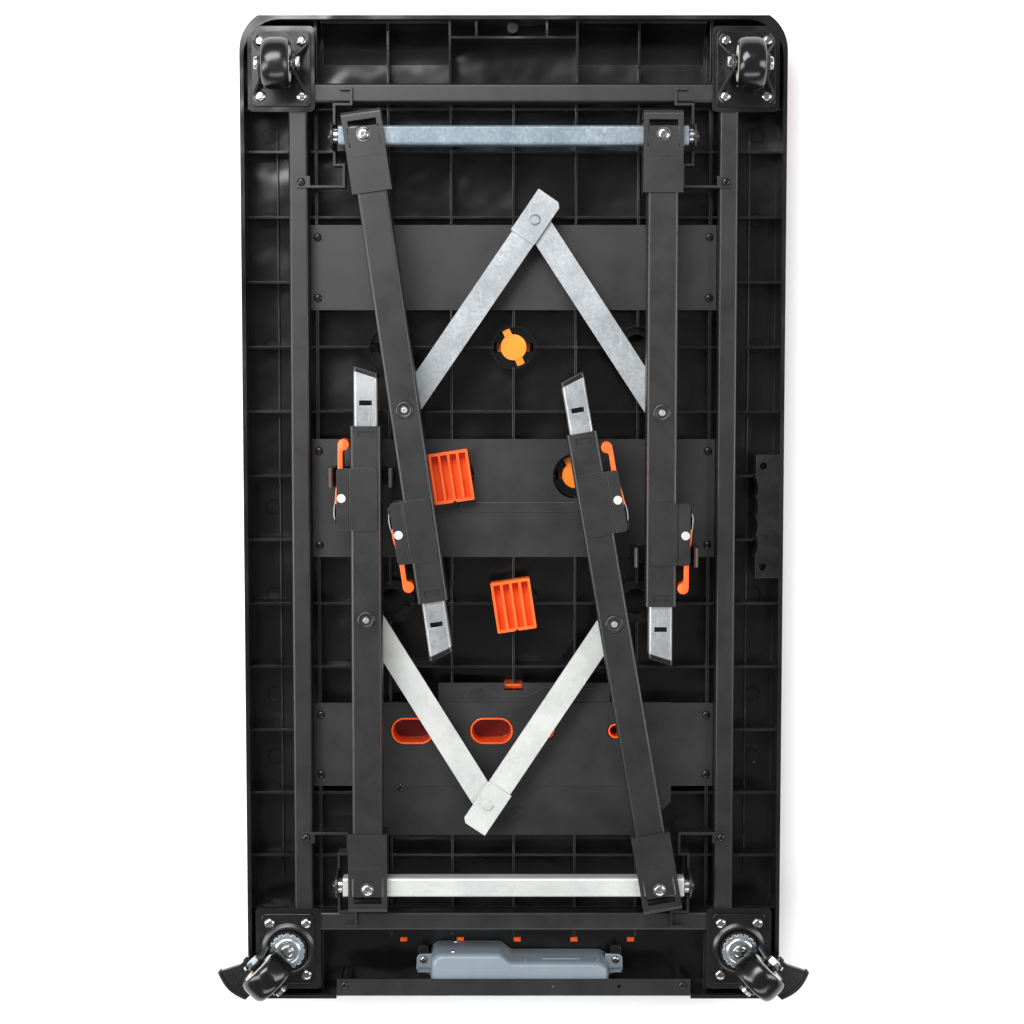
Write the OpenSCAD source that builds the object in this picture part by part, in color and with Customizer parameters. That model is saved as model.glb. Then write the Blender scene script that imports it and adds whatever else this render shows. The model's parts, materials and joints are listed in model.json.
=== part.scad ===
// Folding work table, lying on its work face with the underside up.
// X runs across, Y along towards the fixed casters, Z up out of the underside.
// The origin is the centre of the work face. All sizes are in millimetres.

/* [Worktop shell] */
// Width across the rim
top_w = 558; // [500:1:640]
// Length of the rim from end to end
top_l = 1020; // [980:1:1100]
// Height of the rim above the work face
rim_h = 58; // [56:0.5:60]
// Wall of the rim
rim_wall = 4; // [2.5:0.5:6]
// How far the front wall leans out at the work face
front_flare = 7; // [2:1:12]
// Corner radius at the front end
front_corner_r = 42; // [20:1:60]
// Corner radius at the rear end
rear_corner_r = 8; // [4:1:16]
// Thickness of the deck behind the work face
deck_t = 3.5; // [2.5:0.5:5]
// Height of the rib tops above the work face
rib_top = 36; // [33:0.5:38]
// Thickness of a rib
rib_t = 2.2; // [1.5:0.1:3.5]
// Spacing of the lengthways ribs
rib_pitch_x = 64.5; // [60:0.5:66]
// Spacing of the crossways ribs
rib_pitch_y = 66.9; // [64:0.1:70]
// Half distance between the two walls beside the frame tubes
inner_wall_x = 203.5; // [200:0.5:206]

/* [Bench dog sockets] */
// Radius of a socket bore
socket_bore_r = 13.5; // [12:0.5:15]
// Radius of the ledge that the tabs turn on
socket_ledge_r = 21; // [20:0.5:22]
// Height of that ledge above the work face
socket_ledge_z = 17; // [14:0.5:20]
// Height of the socket collar above the work face
socket_top_z = 24; // [23:0.5:28]
// Half angle that a plug stands turned from its slots
plug_turn = 66; // [50:1:80]

/* [Frame] */
// Outside size of the square frame tubes
frame_tube = 20; // [18:0.5:21]
// Wall of the frame tubes
frame_wall = 1.5; // [1:0.1:3]
// Half distance between the side tube centres
side_tube_x = 220; // [217:0.5:224]
// Distance from a fold axis to the end tube beside it
end_tube_offset = 46; // [44:0.5:50]
// Thickness of the corner plates
corner_plate_t = 2.5; // [2:0.1:3.5]
// Thickness of the cross panels
panel_t = 1.2; // [0.8:0.1:2]

/* [Folding legs] */
// Place of the front fold axis along the table
fold_y_front = 386; // [370:1:390]
// Place of the rear fold axis along the table
fold_y_rear = -382; // [-385:1:-370]
// Height of the fold axes above the work face
fold_z = 84.5; // [84.5:0.5:88]
// Outside size of the square cross tubes
cross_tube = 20; // [18:0.5:22]
// Distance between the two legs of a pair at their pivots
leg_pitch = 300; // [296:1:302]
// How far a cross tube reaches beyond each leg pivot
cross_overhang = 26; // [24:0.5:27]
// Outside size of the outer leg tube
leg_tube = 31; // [29:0.5:32]
// Outside size of the inner leg tube
inner_tube = 24; // [20:0.5:24]
// Wall of the leg tubes
leg_wall = 1.5; // [1:0.1:1.6]
// Length of the bush in the mouth of the outer leg tube
bush_l = 16; // [14:1:40]
// Distance from the leg pivot to the end of the outer tube
leg_reach = 476; // [466:1:480]
// Distance from the leg pivot to the middle of the sole
foot_reach = 528; // [524:1:534]
// Angle that a standing leg leans out, which the soles are cut to
splay = 17.5; // [16.5:0.1:18]
// Angle that the folded front left leg leans in
slant_front = 8.2; // [7.9:0.1:8.6]
// Angle that the folded rear right leg leans in
slant_rear = 9.8; // [9.2:0.1:10]
// Distance from the leg pivot to the link screw
link_screw_reach = 278.5; // [270:0.5:280]
// Width of the link bars
link_w = 26; // [22:0.5:28]
// Thickness of the link bars
link_t = 3; // [2:0.1:3]
// Radius of the pivot screws and bolts
pivot_r = 4; // [3:0.1:5]

/* [Leg clamps] */
// Distance from the leg pivot to the lever rivet
lever_reach = 403; // [398:1:408]
// Distance from the leg centre line to the lever rivet
lever_side = 24.5; // [24:0.1:25.5]
// Length from the rivet to the knob of the lever
lever_l = 50; // [44:1:54]
// Radius of the knob on the lever
knob_r = 5.6; // [5:0.1:5.8]

/* [Casters] */
// Diameter of the wheels
wheel_d = 52; // [46:1:54]
// Width of the wheels over the hub
wheel_w = 30; // [24:1:32]
// Height of a caster from the top of its plate to the ground
caster_h = 70; // [66:1:76]
// Half distance across between the caster centres
caster_x = 236.5; // [234:0.5:238]
// Distance of the caster centres from the ends of the rim
caster_inset = 54; // [52:0.5:55]
// Distance from the swivel axis to the wheel axle
trail = 24; // [20:1:26]
// Angle that the rear wheels trail at, behind straight across
trail_angle = 44; // [30:1:50]

/* [Clearances] */
// Running clearance between a pin and its bore
run_fit = 0.05; // [0.02:0.01:0.1]
// Gap between faces that slide past each other
slide_gap = 0.4; // [0.3:0.05:0.8]
// Gap between an inner leg and the bush in the mouth of its tube
bush_gap = 0.3; // [0.3:0.05:0.6]

/* [Hidden] */
$fn = 48;
eps = 0.01;
rim_half_w = top_w / 2;
rim_half_l = top_l / 2;
cross_tube_l = leg_pitch + 2 * cross_overhang;
caster_y = rim_half_l - caster_inset;
shell_black = [0.09, 0.09, 0.1];
inner_wall_t = 3;
end_row_y = rim_half_l - 92;
rib_rear_inset = 57;
rib_front_inset = 47;
frame_z0 = rib_top;
frame_z1 = rib_top + frame_tube;
plate_z1 = frame_z1 + corner_plate_t;
caster_plate_t = 2.5;
caster_plate_w = 60;
caster_plate_l = 76;
caster_hole_dx = 21;
caster_hole_dy = 27.5;
caster_z0 = plate_z1 + caster_plate_t;
crown_z = caster_z0 + 3 + slide_gap;
crown_t = 3;
pedal_pin_r = 3;
pedal_pin_y = trail + 13;
pedal_pin_z = crown_z + 5.5;
ground_z = plate_z1 + caster_h;
axle_z = ground_z - wheel_d / 2;
cheek_x = wheel_w / 2 + 1.2;
rib_rows = [for (k = [0:11]) (k - 5.5) * rib_pitch_y + 6.3];
rib_columns = [for (k = [-2:2]) k * rib_pitch_x];
panel_rows = [[212, 299.5], [-45, 78.4], [-287.4, -199.1]];
panel_half_w = side_tube_x - frame_tube / 2 - slide_gap;
panel_z1 = rib_top + panel_t;
panel_screw_inset = 12.5;
panel_screw_x = inner_wall_x - 1;
front_row_y = rib_rows[8];
middle_row_y = rib_rows[6];
rear_row_y = rib_rows[4];
sockets = [for (x = [-2, 0, 2]) [x * rib_pitch_x, front_row_y], for (x = [-1, 1]) [x * rib_pitch_x, middle_row_y],
    for (x = [-2, 0, 2]) [x * rib_pitch_x, rear_row_y]];
plug_front_at = [0, front_row_y];
plug_middle_at = [rib_pitch_x, middle_row_y];
block_middle_at = [-rib_pitch_x, middle_row_y];
block_rear_at = [0, rear_row_y];
socket_wall = 2;
tab_tip_r = socket_ledge_r - 1;
tab_w = 8;
tab_t = 3.5;
plug_head_r = 17.5;
plug_head_t = 2.6;
plug_boss_h = 1.2;
block_size = [41, 53, 18];
block_turn = 8.5;
block_z0 = panel_z1 + 0.8;
cup_row_y = -229.2;
cup_places = [[-106.3, 45, 28], [-23.1, 45, 28], [35.5, 15.5, 15.5], [107.4, 15.5, 15.5]];
cup_wall = 1.8;
cup_floor_t = 2;
tray_t = 3;
tray_box = [[-166, -340], [166, -178]];
leg_z0 = fold_z - leg_tube / 2;
leg_z1 = fold_z + leg_tube / 2;
head_w = 40;
head_t = 2;
head_z0 = leg_z0 - head_t - slide_gap;
head_z1 = leg_z1 + head_t + slide_gap;
head_back = 24.5;
head_front = 57.5;
tube_start = 19;
link_z1 = leg_z0 - 3;
link_z0 = link_z1 - link_t;
under_z1 = link_z0 - slide_gap / 2;
under_z0 = under_z1 - link_t;
link_l = leg_pitch / 2 + link_screw_reach * sin(splay);
cap_t = 1.5;
cap_l = 50;
clamp_t = 2;
clamp_y0 = lever_reach - 33;
clamp_y1 = lever_reach + 31;
clamp_u0 = -11.5;
clamp_u1 = lever_side + 5;
lever_gap = 3;
cam_r = 7;
blade_w = 5.7;
rivet_r = 3.2;
tooth_disc_r = 18.4;
insert_box = [[-9.6, -185.4], [9.6, -179.2]];
inner_start = link_screw_reach + pivot_r + 6;
bracket_clear = 8;
bracket_x = cross_tube_l / 2 + bracket_clear;
bracket_t = 2.5;
bracket_jog = 12;
bracket_lip = 18;
bracket_bend = 28;
bracket_foot = 50;
foot_t = 2;
ear_r = 13;
bracket_low_z1 = frame_z1 + 4;
bolt_l = 24;
clip_y = 31;
clip_w = 20;
clip_in = 21;
clip_out = 40;
clip_arm_t = 6.6;
pocket_half_w = 65;
pocket_y = rim_half_l - 67;
pocket_lip_y = rim_half_l - 22.5;
end_panel_half_w = 186;
end_screw_x = end_panel_half_w - 8;
end_screw_y = -rim_half_l + 14;
power_x0 = -88;
power_x1 = 101;
power_step_x = -8;
power_z1 = 55;
power_ears = [power_x0 - 8, power_x1 + 8];
power_ear_y = -rim_half_l + 40;
power_back_left = -rim_half_l + 44;
power_back_right = -rim_half_l + 35;
power_bay_l = 62;
power_bay_gap = 3;
power_ear_z = 20;
outlet_x = 6.5;
outlet_pitch = 58;
outlet_z = 30;
handle_y0 = -65;
handle_y1 = 62.7;
handle_x0 = 250.5;
handle_x1 = rim_half_w - rim_wall;
handle_z0 = 26;
inlay_y = -rim_half_l + 48.7;
inlay_half_l = 146;
inlay_w = 12;
inlay_t = 1.5;
inlay_tab_x = 4;
inlay_tab_pitch = 61;
trim_out = 1.2;
trim_in = 2.5;
trim_h = 3.2;
trim_back_y = rim_half_l - 180;

// General shapes

// A rectangle with round corners, centred
module round_rect(w, l, r) {
    square([w - 2 * r, l], center = true);
    square([w, l - 2 * r], center = true);
    for (x = [-1, 1], y = [-1, 1]) translate([x * (w / 2 - r), y * (l / 2 - r)]) circle(r);
}

// A square tube along +Z with round corners
module square_tube(size, wall, l) {
    linear_extrude(l) difference() {
        round_rect(size, size, 2 * wall);
        round_rect(size - 2 * wall, size - 2 * wall, wall);
    }
}

// A cuboid between two opposite corners
module span_box(a, b) {
    translate(a) cube([b[0] - a[0], b[1] - a[1], b[2] - a[2]]);
}

// A pan head screw whose head stands on z = 0 and whose shank goes down
module pan_screw(head_r, shank_r, shank_l, head_h) {
    difference() {
        union() {
            cylinder(r = head_r, h = head_h * 0.6);
            translate([0, 0, head_h * 0.6 - eps]) cylinder(r1 = head_r, r2 = head_r * 0.62, h = head_h * 0.4, $fn = 40);
            translate([0, 0, -shank_l]) cylinder(r = shank_r, h = shank_l + eps);
        }
        for (a = [0, 90]) rotate(a) translate([-head_r * 0.55, -0.5, head_h * 0.55]) cube([head_r * 1.1, 1, head_h]);
    }
}

// A hexagon nut, its base on z = 0
module hex_nut(across, h) {
    cylinder(r = across / sqrt(3), h = h, $fn = 6);
}

// Worktop

// Plan of the worktop, grown outwards by g, with the front edge at front_y
module top_plan(g, front_y) {
    w = rim_half_w + g;
    rf = front_corner_r + g;
    rr = rear_corner_r + g;
    y0 = -rim_half_l - g;
    translate([-w, y0 + rr]) square([2 * w, front_y + g - rf - y0 - rr]);
    translate([-w + rf, y0 + rr]) square([2 * (w - rf), front_y + g - y0 - rr]);
    translate([-w + rr, y0]) square([2 * (w - rr), 2 * rr]);
    for (s = [-1, 1]) {
        translate([s * (w - rf), front_y + g - rf]) circle(rf, $fn = 96);
        translate([s * (w - rr), y0 + rr]) circle(rr);
    }
}

// Cuts the front wall to the slope that leans out towards the work face
module front_slope() {
    lean = atan(front_flare / (rim_h - trim_h));
    translate([0, rim_half_l + front_flare, trim_h]) rotate([lean, 0, 0])
        translate([-rim_half_w - 5, 0, 0]) cube([top_w + 10, 40, rim_h + 20]);
}

// One socket collar: bore wall, ledge and collar
module socket_collar() {
    r0 = socket_bore_r;
    foot_r = plug_head_r + 2.4;
    rotate_extrude($fn = 72) polygon([[r0 - 2, deck_t], [foot_r, deck_t], [foot_r, 5.6],
        [r0 + socket_wall, 5.6],
        [r0 + socket_wall, socket_ledge_z - 3 - (socket_ledge_r - r0)],
        [socket_ledge_r + socket_wall, socket_ledge_z - 3], [socket_ledge_r + socket_wall, socket_top_z],
        [socket_ledge_r, socket_top_z], [socket_ledge_r, socket_ledge_z], [r0 - 2, socket_ledge_z]]);
    for (s = [-1, 1]) translate([s * (socket_ledge_r + 0.5), 0, socket_ledge_z - 4])
        linear_extrude(socket_top_z - socket_ledge_z + 3) round_rect(7, 15, 1.5);
}

// What one socket cuts from the deck: bore, head recess and the two slots for the tabs
module socket_cut() {
    translate([0, 0, -1]) cylinder(r = socket_bore_r, h = socket_top_z + 2, $fn = 72);
    translate([0, 0, -1]) cylinder(r = plug_head_r + slide_gap, h = 1 + deck_t + slide_gap, $fn = 72);
    translate([0, 0, socket_ledge_z]) cylinder(r = socket_ledge_r, h = 60, $fn = 72);
    translate([0, 0, -1]) socket_slots(socket_ledge_z + 2);
}

// The two slots that a plug's tabs drop through
module socket_slots(h) {
    for (s = [-1, 1]) translate([s * (socket_bore_r + 1.8), 0, 0]) linear_extrude(h)
        square([12.4, tab_w + 1.5], center = true);
}

// Where a crossways rib meets the long walls and ribs, with half the thickness of each
rib_stops = concat([[-inner_wall_x, inner_wall_t / 2]], [for (x = rib_columns) [x, rib_t / 2]],
    [[inner_wall_x, inner_wall_t / 2]]);

// The two long walls beside the frame tubes, and the lengthways ribs between them
module long_ribs() {
    h = rib_top - deck_t;
    y_end = rim_half_l - rim_wall;
    translate([0, 0, deck_t]) {
        for (s = [-1, 1]) translate([s * inner_wall_x - inner_wall_t / 2, -y_end, 0]) cube([inner_wall_t, 2 * y_end, h]);
        for (x = rib_columns) translate([x - rib_t / 2, -y_end + rib_rear_inset, 0])
            cube([rib_t, 2 * y_end - rib_rear_inset - rib_front_inset, h]);
    }
}

// The crossways ribs, each in stretches that fit between the lengthways ones
module cross_ribs() {
    h = rib_top - deck_t;
    side = rim_half_w - rim_wall;
    last = len(rib_stops) - 1;
    for (y = concat(rib_rows, [-end_row_y, end_row_y])) translate([0, y - rib_t / 2, deck_t]) {
        for (s = [-1, 1]) translate([s > 0 ? rib_stops[last][0] + rib_stops[last][1] : -side, 0, 0])
            cube([side - rib_stops[last][0] - rib_stops[last][1], rib_t, h]);
        for (k = [0:last - 1]) translate([rib_stops[k][0] + rib_stops[k][1], 0, 0])
            cube([rib_stops[k + 1][0] - rib_stops[k + 1][1] - rib_stops[k][0] - rib_stops[k][1], rib_t, h]);
    }
}

// The pocket for the fingers at the front end, with its curved lip and two webs
module finger_pocket() {
    h = rim_h - 6;
    linear_extrude(h) {
        for (s = [-1, 1]) translate([s * pocket_half_w - rib_t / 2, pocket_y]) square([rib_t, rim_half_l - 2 - pocket_y]);
        translate([-pocket_half_w, pocket_lip_y]) square([2 * pocket_half_w, rib_t]);
        for (x = [-38, 34]) translate([x - rib_t / 2, pocket_lip_y + 0.5]) square([rib_t, rim_half_l - 2.5 - pocket_lip_y]);
    }
    translate([-1, rim_half_l - 11, 0]) cylinder(r = 5.5, h = rim_h - 10);
}

// Posts under the screws of the panels, the power box and the end panel
module shell_posts() {
    for (s = [-1, 1], row = panel_rows, y = [row[0] + panel_screw_inset, row[1] - panel_screw_inset])
        translate([s * panel_screw_x, y, deck_t]) cylinder(r = 5, h = rib_top - deck_t, $fn = 32);
    for (x = power_ears) translate([x, power_ear_y, deck_t]) cylinder(r = 6, h = power_ear_z - deck_t, $fn = 32);
    for (s = [-1, 1]) translate([s * end_screw_x, end_screw_y, deck_t])
        cylinder(r = 6, h = rim_h - 1.5 - deck_t, $fn = 32);
}

// A cup's plan: an oval, or a circle where both sizes are alike
module cup_plan(w, l, g) {
    r = l / 2 + g;
    translate([-(w - l) / 2, 0]) circle(r);
    translate([(w - l) / 2, 0]) circle(r);
    if (w > l) square([w - l, 2 * r], center = true);
}

// Tray outline, grown outwards by g
module tray_plan(g) {
    translate([tray_box[0][0] - g, tray_box[0][1] - g])
        square([tray_box[1][0] - tray_box[0][0] + 2 * g, tray_box[1][1] - tray_box[0][1] + 2 * g]);
}

// What the sockets, tray, cups, handle, insert, finger pocket and power box take out of the ribs
module rib_cuts() {
    for (s = sockets) translate([s[0], s[1], 0]) {
        socket_collar();
        socket_cut();
    }
    translate([0, 0, rib_top - tray_t]) linear_extrude(rim_h) tray_plan(slide_gap);
    cup_cuts(rim_h);
    translate([handle_x0 - slide_gap, handle_y0 - slide_gap, handle_z0 - slide_gap])
        cube([handle_x1 - handle_x0 + slide_gap, handle_y1 - handle_y0 + 2 * slide_gap, rim_h]);
    translate([insert_box[0][0] - slide_gap, insert_box[0][1] - slide_gap, -1])
        cube([insert_box[1][0] - insert_box[0][0] + 2 * slide_gap,
            insert_box[1][1] - insert_box[0][1] + 2 * slide_gap, rim_h]);
    translate([-pocket_half_w - rib_t / 2, pocket_y, 0]) cube([2 * pocket_half_w + rib_t, rim_half_l - pocket_y, rim_h]);
    power_bay();
}

// The room that the power box stands in
module power_bay() {
    translate([power_x0 - power_bay_gap, -rim_half_l, deck_t])
        cube([power_x1 - power_x0 + 2 * power_bay_gap, power_bay_l, rim_h]);
}

// The holes that the cups stand in
module cup_cuts(h) {
    for (c = cup_places) translate([c[0], cup_row_y, -1]) linear_extrude(h) cup_plan(c[1], c[2], slide_gap);
}

// Deck behind the work face, cut for the sockets, the cups and the second strip of the edge trim
module top_deck() {
    color(shell_black) difference() {
        linear_extrude(deck_t) top_plan(-rim_wall, rim_half_l);
        for (s = sockets) translate([s[0], s[1], -1]) {
            cylinder(r = plug_head_r + slide_gap, h = deck_t + 2, $fn = 72);
            socket_slots(deck_t + 2);
        }
        cup_cuts(deck_t + 2);
        translate([-inlay_half_l, inlay_y - inlay_w / 2, -1]) cube([2 * inlay_half_l, inlay_w, inlay_t + 1]);
        for (k = [-2:2]) translate([inlay_tab_x + k * inlay_tab_pitch - 4, inlay_y - 2.5, -1]) cube([8, 5, deck_t + 2]);
    }
}

// Rim round the deck, open at the rear for the end panel, with the walls of the finger pocket
module top_rim() {
    color(shell_black) difference() {
        union() {
            difference() {
                linear_extrude(rim_h) top_plan(0, rim_half_l + front_flare);
                translate([0, 0, -1]) linear_extrude(rim_h + 2) top_plan(-rim_wall, rim_half_l);
            }
            intersection() {
                finger_pocket();
                translate([0, 0, deck_t]) linear_extrude(rim_h) top_plan(-rim_wall / 2, rim_half_l);
            }
        }
        front_slope();
        translate([-end_panel_half_w - slide_gap, -rim_half_l - 1, deck_t + 2])
            cube([2 * (end_panel_half_w + slide_gap), rim_wall + 2, rim_h]);
        power_bay();
        linear_extrude(trim_h) trim_plan(5);
    }
}

// Long walls, lengthways ribs and screw posts, standing on the deck
module top_long_ribs() {
    color(shell_black) difference() {
        union() {
            long_ribs();
            shell_posts();
        }
        rib_cuts();
    }
}

// Crossways ribs, standing on the deck
module top_cross_ribs() {
    color(shell_black) difference() {
        cross_ribs();
        shell_posts();
        rib_cuts();
    }
}

// The eight sockets, standing on the deck
module dog_sockets() {
    color(shell_black) for (s = sockets) translate([s[0], s[1], 0]) difference() {
        socket_collar();
        socket_cut();
    }
}

// Plan of the edge trim, grown outwards by g beyond the rim
module trim_plan(g) {
    difference() {
        intersection() {
            top_plan(g, rim_half_l + front_flare);
            translate([-top_w, trim_back_y]) square([2 * top_w, top_l]);
        }
        top_plan(-trim_in, rim_half_l + front_flare);
    }
}

module edge_trim() {
    color([0.95, 0.36, 0.1]) {
        linear_extrude(trim_h) trim_plan(trim_out);
        translate([-inlay_half_l, inlay_y - inlay_w / 2, 0]) cube([2 * inlay_half_l, inlay_w, inlay_t]);
        for (k = [-2:2]) translate([inlay_tab_x + k * inlay_tab_pitch - 3.7, inlay_y - 2.2, inlay_t - 0.5])
            cube([7.4, 4.4, deck_t + 3 - inlay_t]);
    }
}

// Frame

module side_tubes() {
    y0 = fold_y_rear - end_tube_offset - frame_tube / 2;
    y1 = fold_y_front + end_tube_offset + frame_tube / 2;
    color([0.2, 0.2, 0.21]) for (s = [-1, 1]) translate([s * side_tube_x, y0, frame_z0 + frame_tube / 2])
        rotate([-90, 0, 0]) square_tube(frame_tube, frame_wall, y1 - y0);
}

// The two end tubes, fitted between the side tubes
module end_tubes() {
    half = side_tube_x - frame_tube / 2;
    color([0.2, 0.2, 0.21]) for (y = [fold_y_front + end_tube_offset, fold_y_rear - end_tube_offset])
        translate([-half, y, frame_z0 + frame_tube / 2]) rotate([0, 90, 0]) square_tube(frame_tube, frame_wall, 2 * half);
}

// Plan of a plate with the four screw holes of a caster
module holed_plate(w, l, r) {
    difference() {
        round_rect(w, l, r);
        for (x = [-1, 1], y = [-1, 1]) translate([x * caster_hole_dx, y * caster_hole_dy]) circle(2.6);
    }
}

// The plates welded on the frame's corners, trimmed to the round corners of the rim
module corner_plates() {
    color([0.16, 0.16, 0.17]) translate([0, 0, frame_z1]) linear_extrude(corner_plate_t) intersection() {
        for (x = [-1, 1], y = [-1, 1]) translate([x * caster_x, y * caster_y])
            holed_plate(caster_plate_w + 8, caster_plate_l + 10, 5);
        top_plan(-rim_wall - slide_gap, rim_half_l);
    }
}

// One cross panel with its screw holes
module panel_plate(row) {
    translate([0, 0, rib_top]) linear_extrude(panel_t) difference() {
        translate([-panel_half_w, row[0]]) square([2 * panel_half_w, row[1] - row[0]]);
        for (s = [-1, 1], y = [row[0] + panel_screw_inset, row[1] - panel_screw_inset])
            translate([s * panel_screw_x, y]) circle(2.2);
        for (s = sockets) translate([s[0], s[1]]) circle(socket_ledge_r + socket_wall + 0.6, $fn = 72);
        for (c = cup_places) translate([c[0], cup_row_y]) cup_plan(c[1], c[2], 1.5);
    }
}

// The three cross panels and the panel of the rear end
module panels() {
    color([0.25, 0.25, 0.26]) for (row = panel_rows) panel_plate(row);
    end_panel();
}

// Two U clips on the middle panel that hold the straight legs when they are folded
module leg_clips() {
    t = clip_arm_t;
    x0 = -leg_pitch / 2 - clip_out;
    x1 = -leg_pitch / 2 + clip_in;
    color([0.08, 0.08, 0.08]) for (turn = [0, 180]) rotate(turn) {
        translate([x0, clip_y, panel_z1]) cube([x1 + t - x0, clip_w, 2]);
        for (x = [x0, x1]) translate([x, clip_y + clip_w, panel_z1]) rotate([90, 0, 0]) linear_extrude(clip_w)
            polygon([[0, 0], [t, 0], [t, 40], [t - 1.4, 48], [t / 2, 50], [1.4, 48], [0, 40]]);
    }
}

// Plate under the rear panel that carries the cups
module cup_tray() {
    color([0.12, 0.12, 0.13]) translate([0, 0, rib_top - tray_t]) difference() {
        linear_extrude(tray_t) difference() {
            tray_plan(0);
            for (c = cup_places) translate([c[0], cup_row_y]) cup_plan(c[1], c[2], slide_gap);
            translate([insert_box[0][0] - slide_gap, insert_box[0][1] - slide_gap])
                square([insert_box[1][0] - insert_box[0][0] + 2 * slide_gap,
                    insert_box[1][1] - insert_box[0][1] + 2 * slide_gap]);
            for (s = [-1, 1]) translate([s * 166, -340]) rotate(45) square([50, 50], center = true);
        }
    }
}

module tool_cups() {
    color([0.95, 0.36, 0.1]) {
        for (c = cup_places) translate([c[0], cup_row_y, 0]) difference() {
            linear_extrude(rib_top) cup_plan(c[1], c[2], 0);
            translate([0, 0, cup_floor_t]) linear_extrude(rib_top) cup_plan(c[1], c[2], -cup_wall);
        }
        span_box([insert_box[0][0], insert_box[0][1], deck_t], [insert_box[1][0], insert_box[1][1], rib_top - 9]);
        span_box([insert_box[0][0] + 1.6, insert_box[1][1] - 2.8, deck_t],
            [insert_box[1][0] - 1.6, insert_box[1][1], rib_top - 3]);
    }
}

// One leg bracket at the front right: a low bent strip, and an ear that takes the fold bolt
module bracket(fold_y) {
    jog_x = bracket_x - bracket_jog;
    lip_x = bracket_x - bracket_lip;
    tube_x = side_tube_x - frame_tube / 2;
    foot_y = fold_y - bracket_foot;
    lip_y = fold_y + end_tube_offset - frame_tube / 2 - slide_gap;
    translate([0, 0, frame_z0 + 1]) linear_extrude(bracket_low_z1 - frame_z0 - 1) {
        translate([bracket_x - bracket_t, fold_y - bracket_bend]) square([bracket_t, lip_y - fold_y + bracket_bend]);
        translate([jog_x, fold_y - bracket_bend]) square([bracket_jog, bracket_t]);
        translate([jog_x, foot_y]) square([bracket_t, bracket_foot - bracket_bend + bracket_t]);
        translate([jog_x, foot_y]) square([tube_x - slide_gap / 2 - jog_x, bracket_t]);
        translate([lip_x, lip_y - bracket_t]) square([bracket_lip, bracket_t]);
    }
    translate([lip_x - 2, lip_y - bracket_t, frame_z1]) linear_extrude(bracket_low_z1 - frame_z1) {
        square([bracket_t, frame_tube - 2]);
        translate([0, frame_tube - 2 - bracket_t]) square([13, bracket_t]);
    }
    translate([tube_x - 2, foot_y, frame_z1]) difference() {
        cube([14, 12, foot_t]);
        translate([9, 6, -1]) cylinder(r = 2.2, h = foot_t + 2);
    }
    translate([tube_x - 32, foot_y, frame_z1]) cube([31, bracket_t, foot_t]);
    translate([bracket_x - bracket_t, 0, 0]) rotate([90, 0, 90]) linear_extrude(bracket_t) difference() {
        union() {
            translate([fold_y - ear_r, frame_z1]) square([2 * ear_r, fold_z - frame_z1]);
            translate([fold_y, fold_z]) circle(ear_r);
        }
        translate([fold_y, fold_z]) circle(pivot_r + run_fit);
    }
}

module brackets() {
    color([0.12, 0.12, 0.13]) for (s = [0, 1]) mirror([s, 0, 0]) {
        bracket(fold_y_front);
        mirror([0, 1, 0]) bracket(-fold_y_rear);
    }
}

// Screws of the panels, brackets, power box, handle and end panel, and the four fold bolts
module frame_screws() {
    color([0.15, 0.15, 0.16]) {
        for (s = [-1, 1], row = panel_rows, y = [row[0] + panel_screw_inset, row[1] - panel_screw_inset])
            translate([s * panel_screw_x, y, panel_z1]) pan_screw(4.2, 2, 0.9, 2.6);
        for (s = [-1, 1], y = [fold_y_front - bracket_foot + 6, fold_y_rear + bracket_foot - 6])
            translate([s * (side_tube_x - frame_tube / 2 + 7), y, frame_z1 + foot_t]) pan_screw(4.2, 2, 1.9, 2.6);
        for (s = [-1, 1]) translate([s * end_screw_x, end_screw_y, rim_h]) pan_screw(4.2, 2, 0.9, 2.2);
        for (x = power_ears) translate([x, power_ear_y, power_ear_z + 3]) pan_screw(4, 2, 0.9, 2.6);
    }
    color([0.75, 0.76, 0.78]) for (s = [-1, 1], y = [fold_y_front, fold_y_rear])
        translate([s * bracket_x, y, fold_z]) rotate([0, s * 90, 0]) {
            translate([0, 0, -bolt_l]) cylinder(r = pivot_r, h = bolt_l);
            cylinder(r = 7, h = 3.6);
            translate([0, 0, -(bracket_x - cross_tube_l / 2) + slide_gap]) difference() {
                cylinder(r = 8, h = bracket_x - cross_tube_l / 2 - bracket_t - slide_gap);
                translate([0, 0, -1]) cylinder(r = pivot_r, h = 20);
            }
        }
}

// Casters

// Side profile of a fork cheek: flared where it leaves the plate, round at the axle
module fork_cheek(w, drop) {
    boss = 9.5;
    flare = [for (t = [0:0.1:1]) [boss + (w / 2 - boss) * pow(1 - t, 2.2), 2 + t * (drop - 4)]];
    difference() {
        union() {
            translate([-w / 2, 0]) square([w, 2 + eps]);
            polygon(concat(flare, [for (k = [len(flare) - 1:-1:0]) [-flare[k][0], flare[k][1]]]));
            translate([0, drop]) circle(boss);
        }
        translate([0, drop]) circle(pivot_r + run_fit);
    }
}

// One fixed fork: plate and two cheeks folded up from one sheet
module fixed_fork(s) {
    drop = axle_z - caster_z0;
    gap = cheek_x;
    translate([s * caster_x, caster_y, plate_z1]) {
        linear_extrude(caster_plate_t) holed_plate(caster_plate_w, caster_plate_l, 4);
        for (k = [-1, 1]) translate([k * (gap + caster_plate_t / 2) - caster_plate_t / 2, 0, caster_plate_t - eps])
            rotate([90, 0, 90]) linear_extrude(caster_plate_t) fork_cheek(42, drop);
    }
}

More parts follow.
